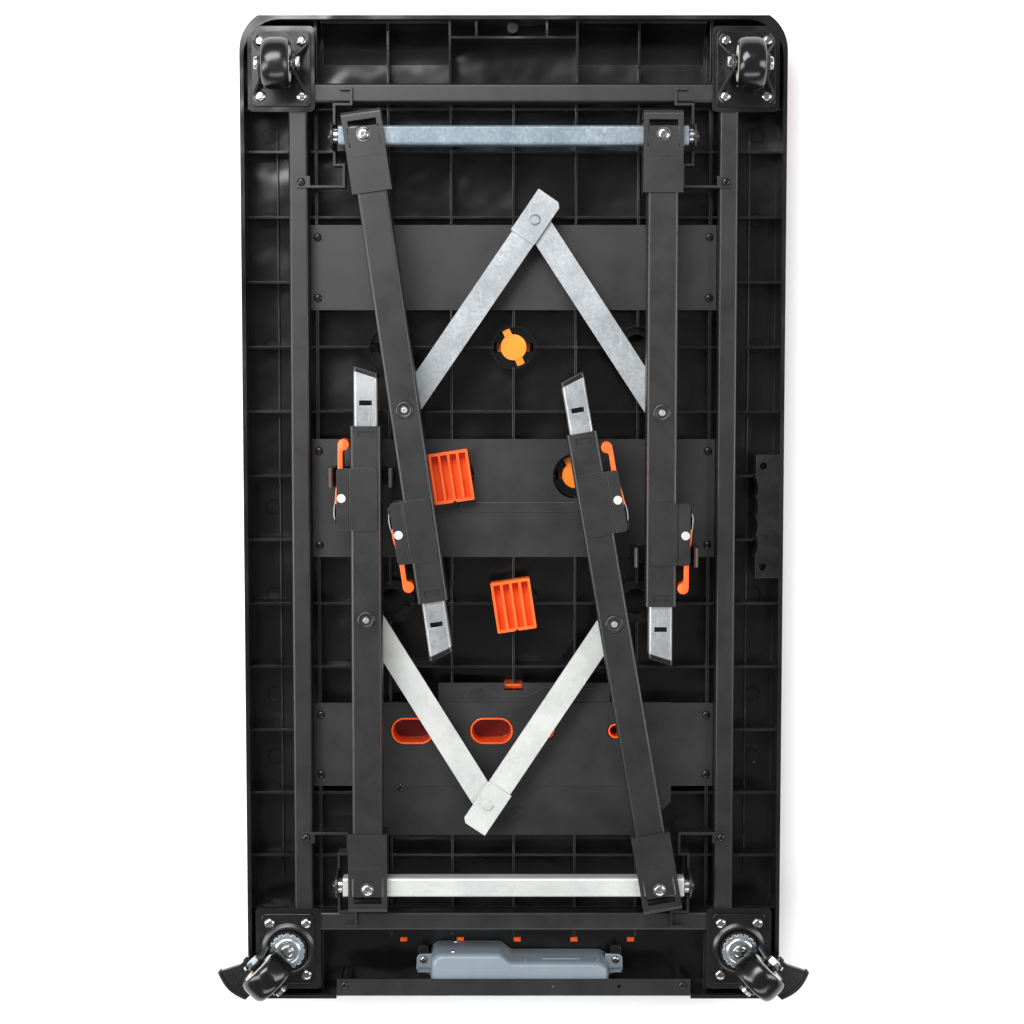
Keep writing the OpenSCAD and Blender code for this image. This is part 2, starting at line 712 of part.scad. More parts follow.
// One wheel standing on its axle at the origin, with its axle along X
module wheel_solid() {
    r = wheel_d / 2;
    rotate([0, 90, 0]) rotate_extrude($fn = 72) polygon([
        [pivot_r + run_fit, -wheel_w / 2], [8, -wheel_w / 2], [8.5, -wheel_w / 2 + 2], [r * 0.62, -wheel_w / 2 + 3],
        [r * 0.68, -wheel_w / 2 + 1.5], [r * 0.86, -wheel_w / 2 + 1.5], [r * 0.97, -wheel_w / 2 + 5], [r, -wheel_w / 2 + 9],
        [r, wheel_w / 2 - 9], [r * 0.97, wheel_w / 2 - 5], [r * 0.86, wheel_w / 2 - 1.5], [r * 0.68, wheel_w / 2 - 1.5],
        [r * 0.62, wheel_w / 2 - 3], [8.5, wheel_w / 2 - 2], [8, wheel_w / 2], [pivot_r + run_fit, wheel_w / 2]]);
}

module wheel_front(s) {
    color([0.13, 0.13, 0.14]) translate([s * caster_x, caster_y, axle_z]) wheel_solid();
}

// Turns to the frame of a rear caster, with X along its wheel axle and -Y the way it trails
module rear_caster(s) {
    translate([s * caster_x, -caster_y, 0]) mirror([s < 0 ? 1 : 0, 0, 0]) rotate(90 - trail_angle) children();
}

module wheel_rear(s) {
    color([0.13, 0.13, 0.14]) rear_caster(s) translate([0, -trail, axle_z]) wheel_solid();
}

// Plate, pressed raceway, king pin and toothed locking disc of one swivel caster
module swivel_plate(s) {
    disc_z = crown_z + crown_t + slide_gap - plate_z1;
    translate([s * caster_x, -caster_y, plate_z1]) {
        linear_extrude(caster_plate_t) difference() {
            holed_plate(caster_plate_w, caster_plate_l, 4);
            circle(5);
        }
        translate([0, 0, caster_plate_t - eps]) rotate_extrude($fn = 64)
            polygon([[22, 0], [26, 0], [25.4, 2], [24, 3], [23, 2.4], [22, 1]]);
        cylinder(r = 6, h = disc_z + 1);
        translate([0, 0, disc_z]) linear_extrude(2) difference() {
            circle(tooth_disc_r, $fn = 72);
            for (k = [0:15]) rotate(k * 22.5) translate([tooth_disc_r, 0]) square([3.2, 2.6], center = true);
        }
        translate([0, 0, disc_z + 2 - eps]) cylinder(r1 = 9.5, r2 = 8.5, h = 0.9);
        translate([0, 0, disc_z + 2]) cylinder(r1 = 7, r2 = 5.6, h = 2.6);
    }
}

// The two fixed forks and the two swivel plates, screwed down on the corner plates
module caster_mounts() {
    color([0.12, 0.12, 0.13]) for (s = [-1, 1]) {
        fixed_fork(s);
        swivel_plate(s);
    }
}

// Swivel fork: crown on the raceway, two raked cheeks, the brake pin and the axle bolt
module swivel_fork(s) {
    gap = cheek_x;
    drop = axle_z - crown_z;
    color([0.1, 0.1, 0.11]) rear_caster(s) {
        translate([0, 0, crown_z]) difference() {
            union() {
                cylinder(r = 20.5, h = crown_t, $fn = 64);
                translate([-gap - caster_plate_t, -trail - 2, 0]) cube([2 * gap + 2 * caster_plate_t, trail + 2, crown_t]);
            }
            translate([0, 0, -1]) cylinder(r = 6 + run_fit, h = 8);
        }
        for (k = [-1, 1]) translate([k * (gap + caster_plate_t / 2) - caster_plate_t / 2, 0, crown_z])
            rotate([90, 0, 90]) linear_extrude(caster_plate_t) difference() {
                union() {
                    polygon([[-trail - 16, 0], [6, 0], [6, crown_t], [-9.6, crown_t], [-trail + 12, drop * 0.55],
                        [-trail + 9, drop], [-trail - 9, drop], [-trail - 12, drop * 0.5], [-trail - 18.5, 11],
                        [-trail - 19, 3]]);
                    translate([-trail, drop]) circle(9);
                }
                translate([-trail, drop]) circle(pivot_r + run_fit);
            }
        translate([-gap - caster_plate_t, -pedal_pin_y, pedal_pin_z]) rotate([0, 90, 0])
            cylinder(r = pedal_pin_r, h = 2 * gap + 2 * caster_plate_t + 7);
    }
    color([0.75, 0.76, 0.78]) rear_caster(s) translate([0, -trail, axle_z]) rotate([0, 90, 0]) axle_bolt(gap + caster_plate_t);
}

// An axle bolt along Z with its head and nut outside two cheeks at plus and minus half
module axle_bolt(half) {
    translate([0, 0, -half - 2]) cylinder(r = pivot_r, h = 2 * half + 6);
    translate([0, 0, -half - 4]) cylinder(r = 7, h = 4);
    translate([0, 0, half]) hex_nut(12, 5);
}

// Plan of a brake pedal: a web between the cheeks, a fan set to one side, and an arm outside the cheek
module pedal_plan() {
    gap = cheek_x;
    out = gap + caster_plate_t + 0.6;
    reach = pedal_pin_y + 30;
    bow = [for (t = [0:0.125:1]) [-6 + 41 * t, -reach - 5 * sin(180 * t)]];
    translate([-gap + 0.6, -pedal_pin_y - 18]) square([2 * gap - 1.2, 18]);
    translate([out, -pedal_pin_y - 18]) square([5, 23]);
    polygon(concat([[gap - 1, -pedal_pin_y - 10], [-6, -pedal_pin_y - 15]], bow, [[out + 5, -pedal_pin_y - 8]]));
}

// Brake pedal on its pin behind the wheel
module brake_pedal(s) {
    gap = cheek_x;
    color([0.08, 0.08, 0.08]) rear_caster(s) difference() {
        union() {
            translate([0, 0, pedal_pin_z - 3.5]) linear_extrude(7) pedal_plan();
            translate([-gap + 0.6, -pedal_pin_y, pedal_pin_z]) rotate([0, 90, 0]) cylinder(r = 4.6, h = 2 * gap - 1.2);
            translate([gap + caster_plate_t + 0.6, -pedal_pin_y, pedal_pin_z]) rotate([0, 90, 0]) cylinder(r = 5, h = 5);
            for (k = [0:3]) translate([2 + k * 1.2, -pedal_pin_y - 21 - 2.9 * k, pedal_pin_z + 3.4]) cube([24, 1.2, 0.9]);
        }
        for (k = [-1, 1]) translate([k * (gap + caster_plate_t / 2), -pedal_pin_y, 0])
            cube([caster_plate_t + 1.2, 12.6, 200], center = true);
        translate([-gap - 5, -pedal_pin_y, pedal_pin_z]) rotate([0, 90, 0]) cylinder(r = pedal_pin_r + run_fit, h = 3 * gap);
    }
}

// Screws of all four caster plates and the axle bolts of the fixed forks
module caster_screws() {
    color([0.78, 0.79, 0.8]) {
        for (x = [-1, 1], y = [-1, 1], hx = [-1, 1], hy = [-1, 1])
            translate([x * caster_x + hx * caster_hole_dx, y * caster_y + hy * caster_hole_dy, caster_z0])
                pan_screw(4.9, 2.5, caster_plate_t + corner_plate_t, 3.2);
        for (s = [-1, 1]) translate([s * caster_x, caster_y, axle_z]) rotate([0, -s * 90, 0])
            axle_bolt(cheek_x + caster_plate_t);
    }
}

// Every screw and bolt of the frame
module screws() {
    frame_screws();
    caster_screws();
}

// Ends and handle

module carry_handle() {
    y_mid = (handle_y0 + handle_y1) / 2;
    l = handle_y1 - handle_y0;
    color([0.12, 0.12, 0.13]) difference() {
        span_box([handle_x0, handle_y0, handle_z0], [handle_x1, handle_y1, rim_h - 1]);
        for (k = [-1.5:1.5]) translate([handle_x0 - 21, y_mid + k * 19.5, 20]) cylinder(r = 23.5, h = 50, $fn = 96);
        for (s = [-1, 1]) translate([handle_x0 + 7.5, y_mid + s * (l / 2 - 11.5), 40]) cylinder(r = 4, h = 30);
    }
}

// Side profile of the power box, whose back wall stands at back_y with a rounded edge
module power_profile(back_y) {
    front_y = -rim_half_l + 6;
    edge = [for (a = [0:15:90]) [back_y - 4 + 4 * cos(a), power_z1 - 4 + 4 * sin(a)]];
    polygon(concat([[front_y, 6], [back_y + 2, 6]], edge, [[front_y, power_z1]]));
}

module power_box() {
    color([0.42, 0.46, 0.51]) difference() {
        union() {
            translate([power_x0, 0, 0]) rotate([90, 0, 90]) linear_extrude(power_step_x - power_x0) power_profile(power_back_left);
            translate([power_step_x - eps, 0, 0]) rotate([90, 0, 90]) linear_extrude(power_x1 - power_step_x) power_profile(power_back_right);
            for (x = power_ears) translate([x, power_ear_y, power_ear_z]) {
                linear_extrude(3) round_rect(15, 26, 5);
                translate([x < 0 ? 6 : -14, -9, 0]) cube([8, 18, 3]);
            }
        }
        for (k = [-1, 0, 1]) translate([outlet_x + k * outlet_pitch, -rim_half_l + 5, outlet_z]) rotate([-90, 0, 0]) {
            cylinder(r = 19, h = 5);
            for (p = [-9.5, 9.5]) translate([p, 0, 0]) cylinder(r = 2.6, h = 14);
        }
        for (x = power_ears) translate([x, power_ear_y, power_ear_z - 5]) cylinder(r = 2.1, h = 12);
    }
}

// Sheet that closes the rear end, folded over at the top, with a window for the power box
module end_panel() {
    w = end_panel_half_w;
    color([0.22, 0.22, 0.23]) difference() {
        union() {
            span_box([-w, -rim_half_l + 3, deck_t + 2.2], [w, -rim_half_l + 4.5, rim_h]);
            span_box([-w, -rim_half_l + 3, rim_h - 1.5], [w, -rim_half_l + 21, rim_h]);
        }
        span_box([power_x0 + 4, -rim_half_l - 1, 10], [power_x1 - 4, -rim_half_l + 8, 50]);
        for (s = [-1, 1]) translate([s * end_screw_x, end_screw_y, 40]) cylinder(r = 2.2, h = 30);
        for (x = [41, 111]) translate([x, -rim_half_l + 13, 40]) cylinder(r = 2, h = 30);
    }
}

// Folding leg pairs. A pair is drawn for the rear end about its fold axis, with the legs along +Y.
// Its slanted leg is at +X and its straight leg at -X. The front pair is the same turned half round.

module pair_frame(front) {
    translate([0, front ? fold_y_front : fold_y_rear, 0]) rotate(front ? 180 : 0) children();
}

// Turns to the frame of one leg: pivot at the origin, foot along +Y, outer side at +X
module leg_frame(front, slanted) {
    pair_frame(front) mirror([slanted ? 0 : 1, 0, 0]) translate([leg_pitch / 2, 0, 0])
        rotate(slanted ? (front ? slant_front : slant_rear) : 0) children();
}

// Cross tube with closed ends, and the screws that its two legs turn on
module cross_tube_pair(front) {
    plug_l = 16;
    plug_w = cross_tube - 2 * frame_wall + 0.6;
    pair_frame(front) {
        color([0.76, 0.77, 0.79]) difference() {
            union() {
                translate([-cross_tube_l / 2, 0, fold_z]) rotate([0, 90, 0]) square_tube(cross_tube, frame_wall, cross_tube_l);
                for (s = [-1, 1]) translate([s * (cross_tube_l / 2 - plug_l / 2), 0, fold_z])
                    cube([plug_l, plug_w, plug_w], center = true);
            }
            for (s = [-1, 1]) {
                translate([s * (cross_tube_l / 2 - 30), 0, fold_z]) rotate([0, s * 90, 0])
                    cylinder(r = pivot_r + run_fit, h = 40);
                translate([s * leg_pitch / 2, 0, 0]) cylinder(r = pivot_r + run_fit, h = 200);
            }
        }
        color([0.75, 0.76, 0.78]) for (s = [-1, 1]) translate([s * leg_pitch / 2, 0, 0]) {
            translate([0, 0, head_z0 - 1]) cylinder(r = pivot_r, h = head_z1 - head_z0 + 2);
            translate([0, 0, head_z1 + slide_gap]) rotate_extrude() polygon([[0, 0], [7.2, 0], [7.2, 0.8], [6.2, 0.8], [6.2, 2],
                [5, 3.6], [3, 4.2], [0, 4.2]]);
            translate([0, 0, head_z0 - 3.6 - slide_gap]) cylinder(r = 7.5, h = 3.6);
        }
    }
}

module leg_tube_one(front, slanted) {
    color([0.2, 0.2, 0.21]) leg_frame(front, slanted) {
        difference() {
            translate([0, tube_start, fold_z]) rotate([-90, 0, 0]) square_tube(leg_tube, leg_wall, leg_reach - tube_start);
            translate([-7.5, leg_reach - 12, leg_z1 - 3]) cube([15, 6, 6]);
            translate([0, link_screw_reach, 0]) cylinder(r = pivot_r + run_fit, h = 200);
        }
        translate([0, leg_reach - bush_l, fold_z]) rotate([-90, 0, 0]) linear_extrude(bush_l) difference() {
            round_rect(leg_tube - 2 * leg_wall, leg_tube - 2 * leg_wall, leg_wall);
            round_rect(inner_tube + 2 * bush_gap, inner_tube + 2 * bush_gap, 2 * leg_wall);
        }
        translate([0, link_screw_reach, 0]) link_screw(slanted);
    }
}

// The screw through the leg that carries its link bar. The straight leg's stops short of the bar.
module link_screw(slanted) {
    z0 = slanted ? link_z0 - 1 : under_z1 + slide_gap;
    translate([0, 0, z0]) cylinder(r = pivot_r, h = leg_z1 - z0 + 1);
    translate([0, 0, leg_z1]) rotate_extrude() polygon([[0, 0], [8.6, 0], [7.4, 2], [4.6, 3.4], [0, 3.9]]);
    translate([0, 0, slanted ? link_z1 + slide_gap : under_z1 + slide_gap])
        cylinder(r = 9, h = leg_z0 - (slanted ? link_z1 : under_z1) - slide_gap);
    if (slanted) translate([0, 0, link_z0 - 1 - 2.6]) cylinder(r = 7, h = 2.6);
}

// Sleeve at the top of a leg: two cheeks over the cross tube, side walls over the leg tube, and a rolled end
module leg_head_one(front, slanted) {
    half = head_w / 2;
    inside = leg_tube / 2 + slide_gap / 2;
    roll_r = 4.5;
    color([0.11, 0.11, 0.12]) leg_frame(front, slanted) difference() {
        union() {
            for (z = [head_z0, leg_z1 + slide_gap]) span_box([-half, roll_r - head_back, z], [half, head_front, z + head_t]);
            span_box([-half, -head_back, head_z0 + roll_r], [half, -head_back + 2.5, head_z1 - roll_r]);
            for (z = [head_z0 + roll_r, head_z1 - roll_r]) translate([-half, roll_r - head_back, z]) rotate([0, 90, 0])
                cylinder(r = roll_r, h = head_w);
            for (s = [-1, 1]) translate([s * (half + inside) / 2, (tube_start + head_front) / 2, fold_z])
                cube([half - inside, head_front - tube_start, head_z1 - head_z0], center = true);
            for (s = [-1, 1]) span_box([s > 0 ? half - 2.6 : -half, roll_r - head_back, head_z1 - head_t - 1.5],
                [s > 0 ? half : 2.6 - half, tube_start, head_z1]);
        }
        translate([0, -11.5, leg_z1 - 5]) linear_extrude(20) round_rect(29, 7, 1);
        for (s = [-1, 1]) translate([s * 15.4, 1.5, leg_z1 - 5]) linear_extrude(20) square([1.3, 19.5], center = true);
        translate([-half - 1, head_front - 36, head_z1 - 0.35]) cube([head_w + 2, 1.2, 2]);
        cylinder(r = pivot_r + run_fit, h = 200);
    }
}

// Plan of the clamp housing: a plate over the leg, and an ear beside it
module clamp_plan() {
    l = clamp_y1 - clamp_y0;
    translate([(clamp_u0 + leg_tube / 2) / 2, 0]) round_rect(leg_tube / 2 - clamp_u0, l, 5);
    translate([(clamp_u1 + leg_tube / 2 - 6) / 2, 0]) round_rect(clamp_u1 - leg_tube / 2 + 6, l - 1, 4);
}

// Sheet housing of the clamp over and under the leg, with the lever's rivet and a bowed spring strip
module leg_clamp_one(front, slanted) {
    l = clamp_y1 - clamp_y0;
    spring = [for (t = [0:0.125:1]) [clamp_u1 + 1.4 + 2.6 * sin(180 * t), lever_reach - 20 + 14.4 * t]];
    color([0.13, 0.13, 0.14]) leg_frame(front, slanted) {
        for (z = [leg_z0 - clamp_t, leg_z1]) translate([0, clamp_y0 + l / 2, z]) linear_extrude(clamp_t) clamp_plan();
        translate([leg_tube / 2, clamp_y0 + 4, leg_z0 - eps]) cube([clamp_u1 - leg_tube / 2 - 1.6, 7, leg_tube + 2 * eps]);
    }
    color([0.8, 0.8, 0.82]) leg_frame(front, slanted) {
        translate([0, 0, leg_z0 + lever_gap + 1]) linear_extrude(leg_tube - 2 * lever_gap - 2) {
            polygon(concat(spring, [for (k = [len(spring) - 1:-1:0]) spring[k] - [1.2, 0]]));
            translate([clamp_u1 - 2, clamp_y0 + 5]) square([4.6, 1.2]);
            translate([clamp_u1 + 1.4, clamp_y0 + 5]) square([1.2, lever_reach - 19 - clamp_y0 - 5]);
        }
        translate([lever_side, lever_reach, 0]) {
            translate([0, 0, leg_z0 - clamp_t - 1]) cylinder(r = rivet_r, h = leg_tube + 2 * clamp_t + 2);
            for (z = [leg_z0 - clamp_t - 1.6, leg_z1 + clamp_t]) translate([0, 0, z]) cylinder(r = 4.4, h = 1.6);
        }
    }
}

module inner_leg_one(front, slanted) {
    color([0.78, 0.79, 0.8]) leg_frame(front, slanted) difference() {
        translate([0, inner_start, fold_z]) rotate([-90, 0, 0]) square_tube(inner_tube, leg_wall, foot_reach + 20 - inner_start);
        translate([0, foot_reach, 0]) rotate(splay) translate([-40, 0, 0]) cube([80, 60, 200]);
        translate([-6.5, foot_reach - 31, fold_z]) cube([13, 5, 40]);
    }
}

// Rubber foot: a sole on the slanting cut and a plug inside the tube
module foot_one(front, slanted) {
    plug = inner_tube - 2 * leg_wall - slide_gap;
    color([0.05, 0.05, 0.05]) leg_frame(front, slanted) union() {
        intersection() {
            translate([0, foot_reach - 30, fold_z]) rotate([-90, 0, 0]) linear_extrude(60)
                round_rect(inner_tube + 1, inner_tube + 1, 3);
            translate([0, foot_reach, 0]) rotate(splay) translate([-40, 0, 0]) cube([80, 5, 200]);
        }
        difference() {
            translate([0, foot_reach - 22, fold_z]) rotate([-90, 0, 0]) linear_extrude(40) round_rect(plug, plug, 1.6);
            translate([0, foot_reach + eps, 0]) rotate(splay) translate([-40, 0, 0]) cube([80, 60, 200]);
        }
    }
}

// A ramp from 0 at a to 1 at b with soft ends
function ramp(x, a, b) = let (t = max(0, min(1, (x - a) / (b - a)))) t * t * (3 - 2 * t);
// Outer edge of the lever's blade, as a distance from the rivet's line
function blade_edge(y) = 3 + (clamp_u1 - lever_side - 1.4) * ramp(y, -10, 4) * (1 - ramp(y, 30, 42))
    + 1.4 * ramp(y, 6, 14) * (1 - ramp(y, 28, 34));

// Cam lever: cam on the rivet, a bowed blade, and a round knob with a lip
module lever_one(front, slanted) {
    z0 = leg_z0 + lever_gap;
    h = leg_tube - 2 * lever_gap;
    run = [for (y = [-4:2:lever_l - 2]) y];
    color([0.95, 0.36, 0.1]) leg_frame(front, slanted) translate([lever_side, lever_reach, z0]) linear_extrude(h) difference() {
        union() {
            circle(cam_r - 0.4);
            polygon(concat([for (y = run) [blade_edge(y), y]],
                [for (k = [len(run) - 1:-1:0]) [blade_edge(run[k]) - blade_w * (run[k] < 0 ? 0.6 : 1), run[k]]]));
            translate([blade_edge(lever_l) - knob_r, lever_l]) circle(knob_r);
            translate([-4.6, lever_l + 5]) circle(3.4);
        }
        circle(rivet_r + run_fit);
    }
}

// Places in the frame of a pair: link screws and apex
function slanted_screw(s) = [leg_pitch / 2 - link_screw_reach * sin(s), link_screw_reach * cos(s)];
function straight_screw() = [-leg_pitch / 2, link_screw_reach];
function apex(s) = let (a = slanted_screw(s), b = straight_screw(), d = norm(a - b), h = sqrt(link_l * link_l - d * d / 4),
    n = [-(a[1] - b[1]), a[0] - b[0]] / d) (a + b) / 2 - h * n;
function heading(v) = atan2(v[1], v[0]);

// A flat bar with round ends from the origin along +X, with a bore at each end
module bar(l, z) {
    translate([0, 0, z]) linear_extrude(link_t) difference() {
        union() {
            circle(link_w / 2);
            translate([l, 0]) circle(link_w / 2);
            translate([0, -link_w / 2]) square([l, link_w]);
        }
        circle(pivot_r + run_fit);
        translate([l, 0]) circle(pivot_r + run_fit);
    }
}

// Link on the slanted leg, with the cap that the other link folds under
module link_slanted(front) {
    s = front ? slant_front : slant_rear;
    a = slanted_screw(s);
    c = apex(s);
    side = link_w / 2 + slide_gap;
    color([0.78, 0.79, 0.8]) pair_frame(front) translate([a[0], a[1], 0]) rotate(heading(c - a)) {
        bar(link_l, link_z0);
        translate([link_l, 0, 0]) {
            translate([-22, 0, link_z1]) linear_extrude(cap_t) difference() {
                translate([0, -side]) square([cap_l, 2 * side + cap_t]);
                translate([cap_l + 2, -side - 8]) rotate(45) square([20, 20], center = true);
            }
            translate([-22, side, under_z0]) cube([cap_l, cap_t, link_z1 - under_z0 + cap_t]);
            translate([0, 0, under_z0 - 1]) cylinder(r = pivot_r, h = link_z1 + cap_t - under_z0 + 1);
            translate([0, 0, link_z1 + cap_t]) cylinder(r1 = 6, r2 = 4, h = 1.8);
            translate([0, 0, under_z0 - 3]) cylinder(r = 6, h = 3 - slide_gap / 2);
        }
    }
}

// Link on the straight leg's side. It turns under the cap, and its far end slides under its leg.
module link_straight(front) {
    s = front ? slant_front : slant_rear;
    b = straight_screw();
    c = apex(s);
    color([0.78, 0.79, 0.8]) pair_frame(front) translate([c[0], c[1], 0]) rotate(heading(b - c)) {
        bar(link_l, under_z0);
        translate([link_l, 0, under_z0 - 1.5]) cylinder(r = pivot_r + run_fit, h = link_t + 1.5);
        translate([link_l, 0, under_z0 - 1.5]) cylinder(r = 7, h = 1.5);
    }
}

// Bench dogs

// Quarter turn plug: a flush head, a stub through the bore and two tabs on the ledge
module dog_plug(at) {
    color([0.98, 0.45, 0.1]) translate([at[0], at[1], 0]) {
        translate([0, 0, 0.3]) cylinder(r = plug_head_r, h = plug_head_t - 0.3, $fn = 72);
        cylinder(r = socket_bore_r - run_fit, h = socket_ledge_z + slide_gap + tab_t + plug_boss_h, $fn = 72);
        translate([0, 0, socket_ledge_z + slide_gap]) rotate(-plug_turn - 180) linear_extrude(tab_t)
            intersection() {
                square([2 * tab_tip_r + 4, tab_w], center = true);
                circle(tab_tip_r, $fn = 72);
            }
    }
}

// Clamp block stored under the top: hollow with three webs, on a stub through the socket
module clamp_block(at) {
    w = block_size[0];
    l = block_size[1];
    h = block_size[2];
    cell = (w - 5 * 2.6) / 4;
    color([0.98, 0.38, 0.08]) translate([at[0], at[1], 0]) rotate(block_turn) {
        difference() {
            translate([0, 0, block_z0]) linear_extrude(h) difference() {
                round_rect(w, l, 1.2);
                translate([0, -l / 2]) rotate(45) square(3, center = true);
            }
            for (k = [0:3]) translate([-w / 2 + 2.6 + k * (cell + 2.6), -l / 2 + 3, block_z0 + 3])
                cube([cell, l - 6, h]);
        }
        translate([0, 0, socket_ledge_z - 8])
            cylinder(r = socket_bore_r - run_fit, h = block_z0 - socket_ledge_z + 8 + eps, $fn = 72);
    }
}

top_deck();
top_rim();
top_long_ribs();
top_cross_ribs();
dog_sockets();
edge_trim();
side_tubes();
end_tubes();
corner_plates();
panels();
leg_clips();
cup_tray();
tool_cups();
brackets();
screws();
caster_mounts();
carry_handle();
power_box();
cross_tube_pair(true);  // cross_tube_front
cross_tube_pair(false);  // cross_tube_rear
leg_tube_one(true, true);  // leg_tube_front_left
leg_tube_one(true, false);  // leg_tube_front_right
leg_tube_one(false, false);  // leg_tube_rear_left
leg_tube_one(false, true);  // leg_tube_rear_right
leg_head_one(true, true);  // leg_head_front_left
leg_head_one(true, false);  // leg_head_front_right
leg_head_one(false, false);  // leg_head_rear_left
leg_head_one(false, true);  // leg_head_rear_right
leg_clamp_one(true, true);  // leg_clamp_front_left
leg_clamp_one(true, false);  // leg_clamp_front_right
leg_clamp_one(false, false);  // leg_clamp_rear_left
leg_clamp_one(false, true);  // leg_clamp_rear_right
inner_leg_one(true, true);  // inner_leg_front_left
inner_leg_one(true, false);  // inner_leg_front_right
inner_leg_one(false, false);  // inner_leg_rear_left
inner_leg_one(false, true);  // inner_leg_rear_right
foot_one(true, true);  // foot_front_left
foot_one(true, false);  // foot_front_right
foot_one(false, false);  // foot_rear_left
foot_one(false, true);  // foot_rear_right
lever_one(true, true);  // lever_front_left
lever_one(true, false);  // lever_front_right
lever_one(false, false);  // lever_rear_left
lever_one(false, true);  // lever_rear_right
link_slanted(true);  // link_front_left
link_straight(true);  // link_front_right
link_straight(false);  // link_rear_left
link_slanted(false);  // link_rear_right
wheel_front(-1);  // wheel_front_left
wheel_front(1);  // wheel_front_right
wheel_rear(-1);  // wheel_rear_left
wheel_rear(1);  // wheel_rear_right
swivel_fork(-1);  // swivel_fork_left
swivel_fork(1);  // swivel_fork_right
brake_pedal(-1);  // brake_pedal_left
brake_pedal(1);  // brake_pedal_right
dog_plug(plug_front_at);  // dog_plug_front
dog_plug(plug_middle_at);  // dog_plug_middle
clamp_block(block_middle_at);  // clamp_block_middle
clamp_block(block_rear_at);  // clamp_block_rear
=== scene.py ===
import bmesh
import bpy
import json
import math
from mathutils import Matrix, Vector


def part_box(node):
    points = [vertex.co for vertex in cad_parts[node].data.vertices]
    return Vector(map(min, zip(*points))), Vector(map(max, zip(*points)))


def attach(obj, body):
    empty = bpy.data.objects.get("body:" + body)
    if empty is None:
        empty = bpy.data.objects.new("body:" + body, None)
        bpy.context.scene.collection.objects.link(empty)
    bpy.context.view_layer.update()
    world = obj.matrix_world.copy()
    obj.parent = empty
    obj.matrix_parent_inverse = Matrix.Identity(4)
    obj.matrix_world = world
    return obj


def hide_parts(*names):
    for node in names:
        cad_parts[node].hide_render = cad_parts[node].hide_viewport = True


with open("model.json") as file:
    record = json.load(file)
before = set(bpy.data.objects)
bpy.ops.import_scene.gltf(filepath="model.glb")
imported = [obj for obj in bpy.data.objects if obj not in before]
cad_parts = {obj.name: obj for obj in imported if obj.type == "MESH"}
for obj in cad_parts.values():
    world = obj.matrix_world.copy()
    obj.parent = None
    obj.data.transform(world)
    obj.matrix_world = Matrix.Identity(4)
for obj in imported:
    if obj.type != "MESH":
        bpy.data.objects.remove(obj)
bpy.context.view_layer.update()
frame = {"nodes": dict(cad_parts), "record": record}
scene = bpy.context.scene
nodes = frame["nodes"]
bodyOfNode = {n: body for body, members in frame["record"]["behaviour"]["bodies"].items() for n in members}
print("frame loaded:", len(nodes), "nodes")

# camera, at the place worked out from the photograph
cameraView = {"place": (-0.0016, 0.177, 2.264), "focal": 2140, "side": 1024, "sensor": 36, "drop": 168}


def makeCamera(view):
    tilt = math.atan(view["drop"] / view["focal"])
    data = bpy.data.cameras.new("photoCamera")
    data.sensor_width = view["sensor"]
    data.lens = view["sensor"] * view["focal"] / view["side"]
    data.clip_end = 50
    camera = bpy.data.objects.new("photoCamera", data)
    scene.collection.objects.link(camera)
    camera.matrix_world = Matrix.Translation(view["place"]) @ Matrix.Rotation(-tilt, 4, "X")
    scene.camera = camera


makeCamera(cameraView)

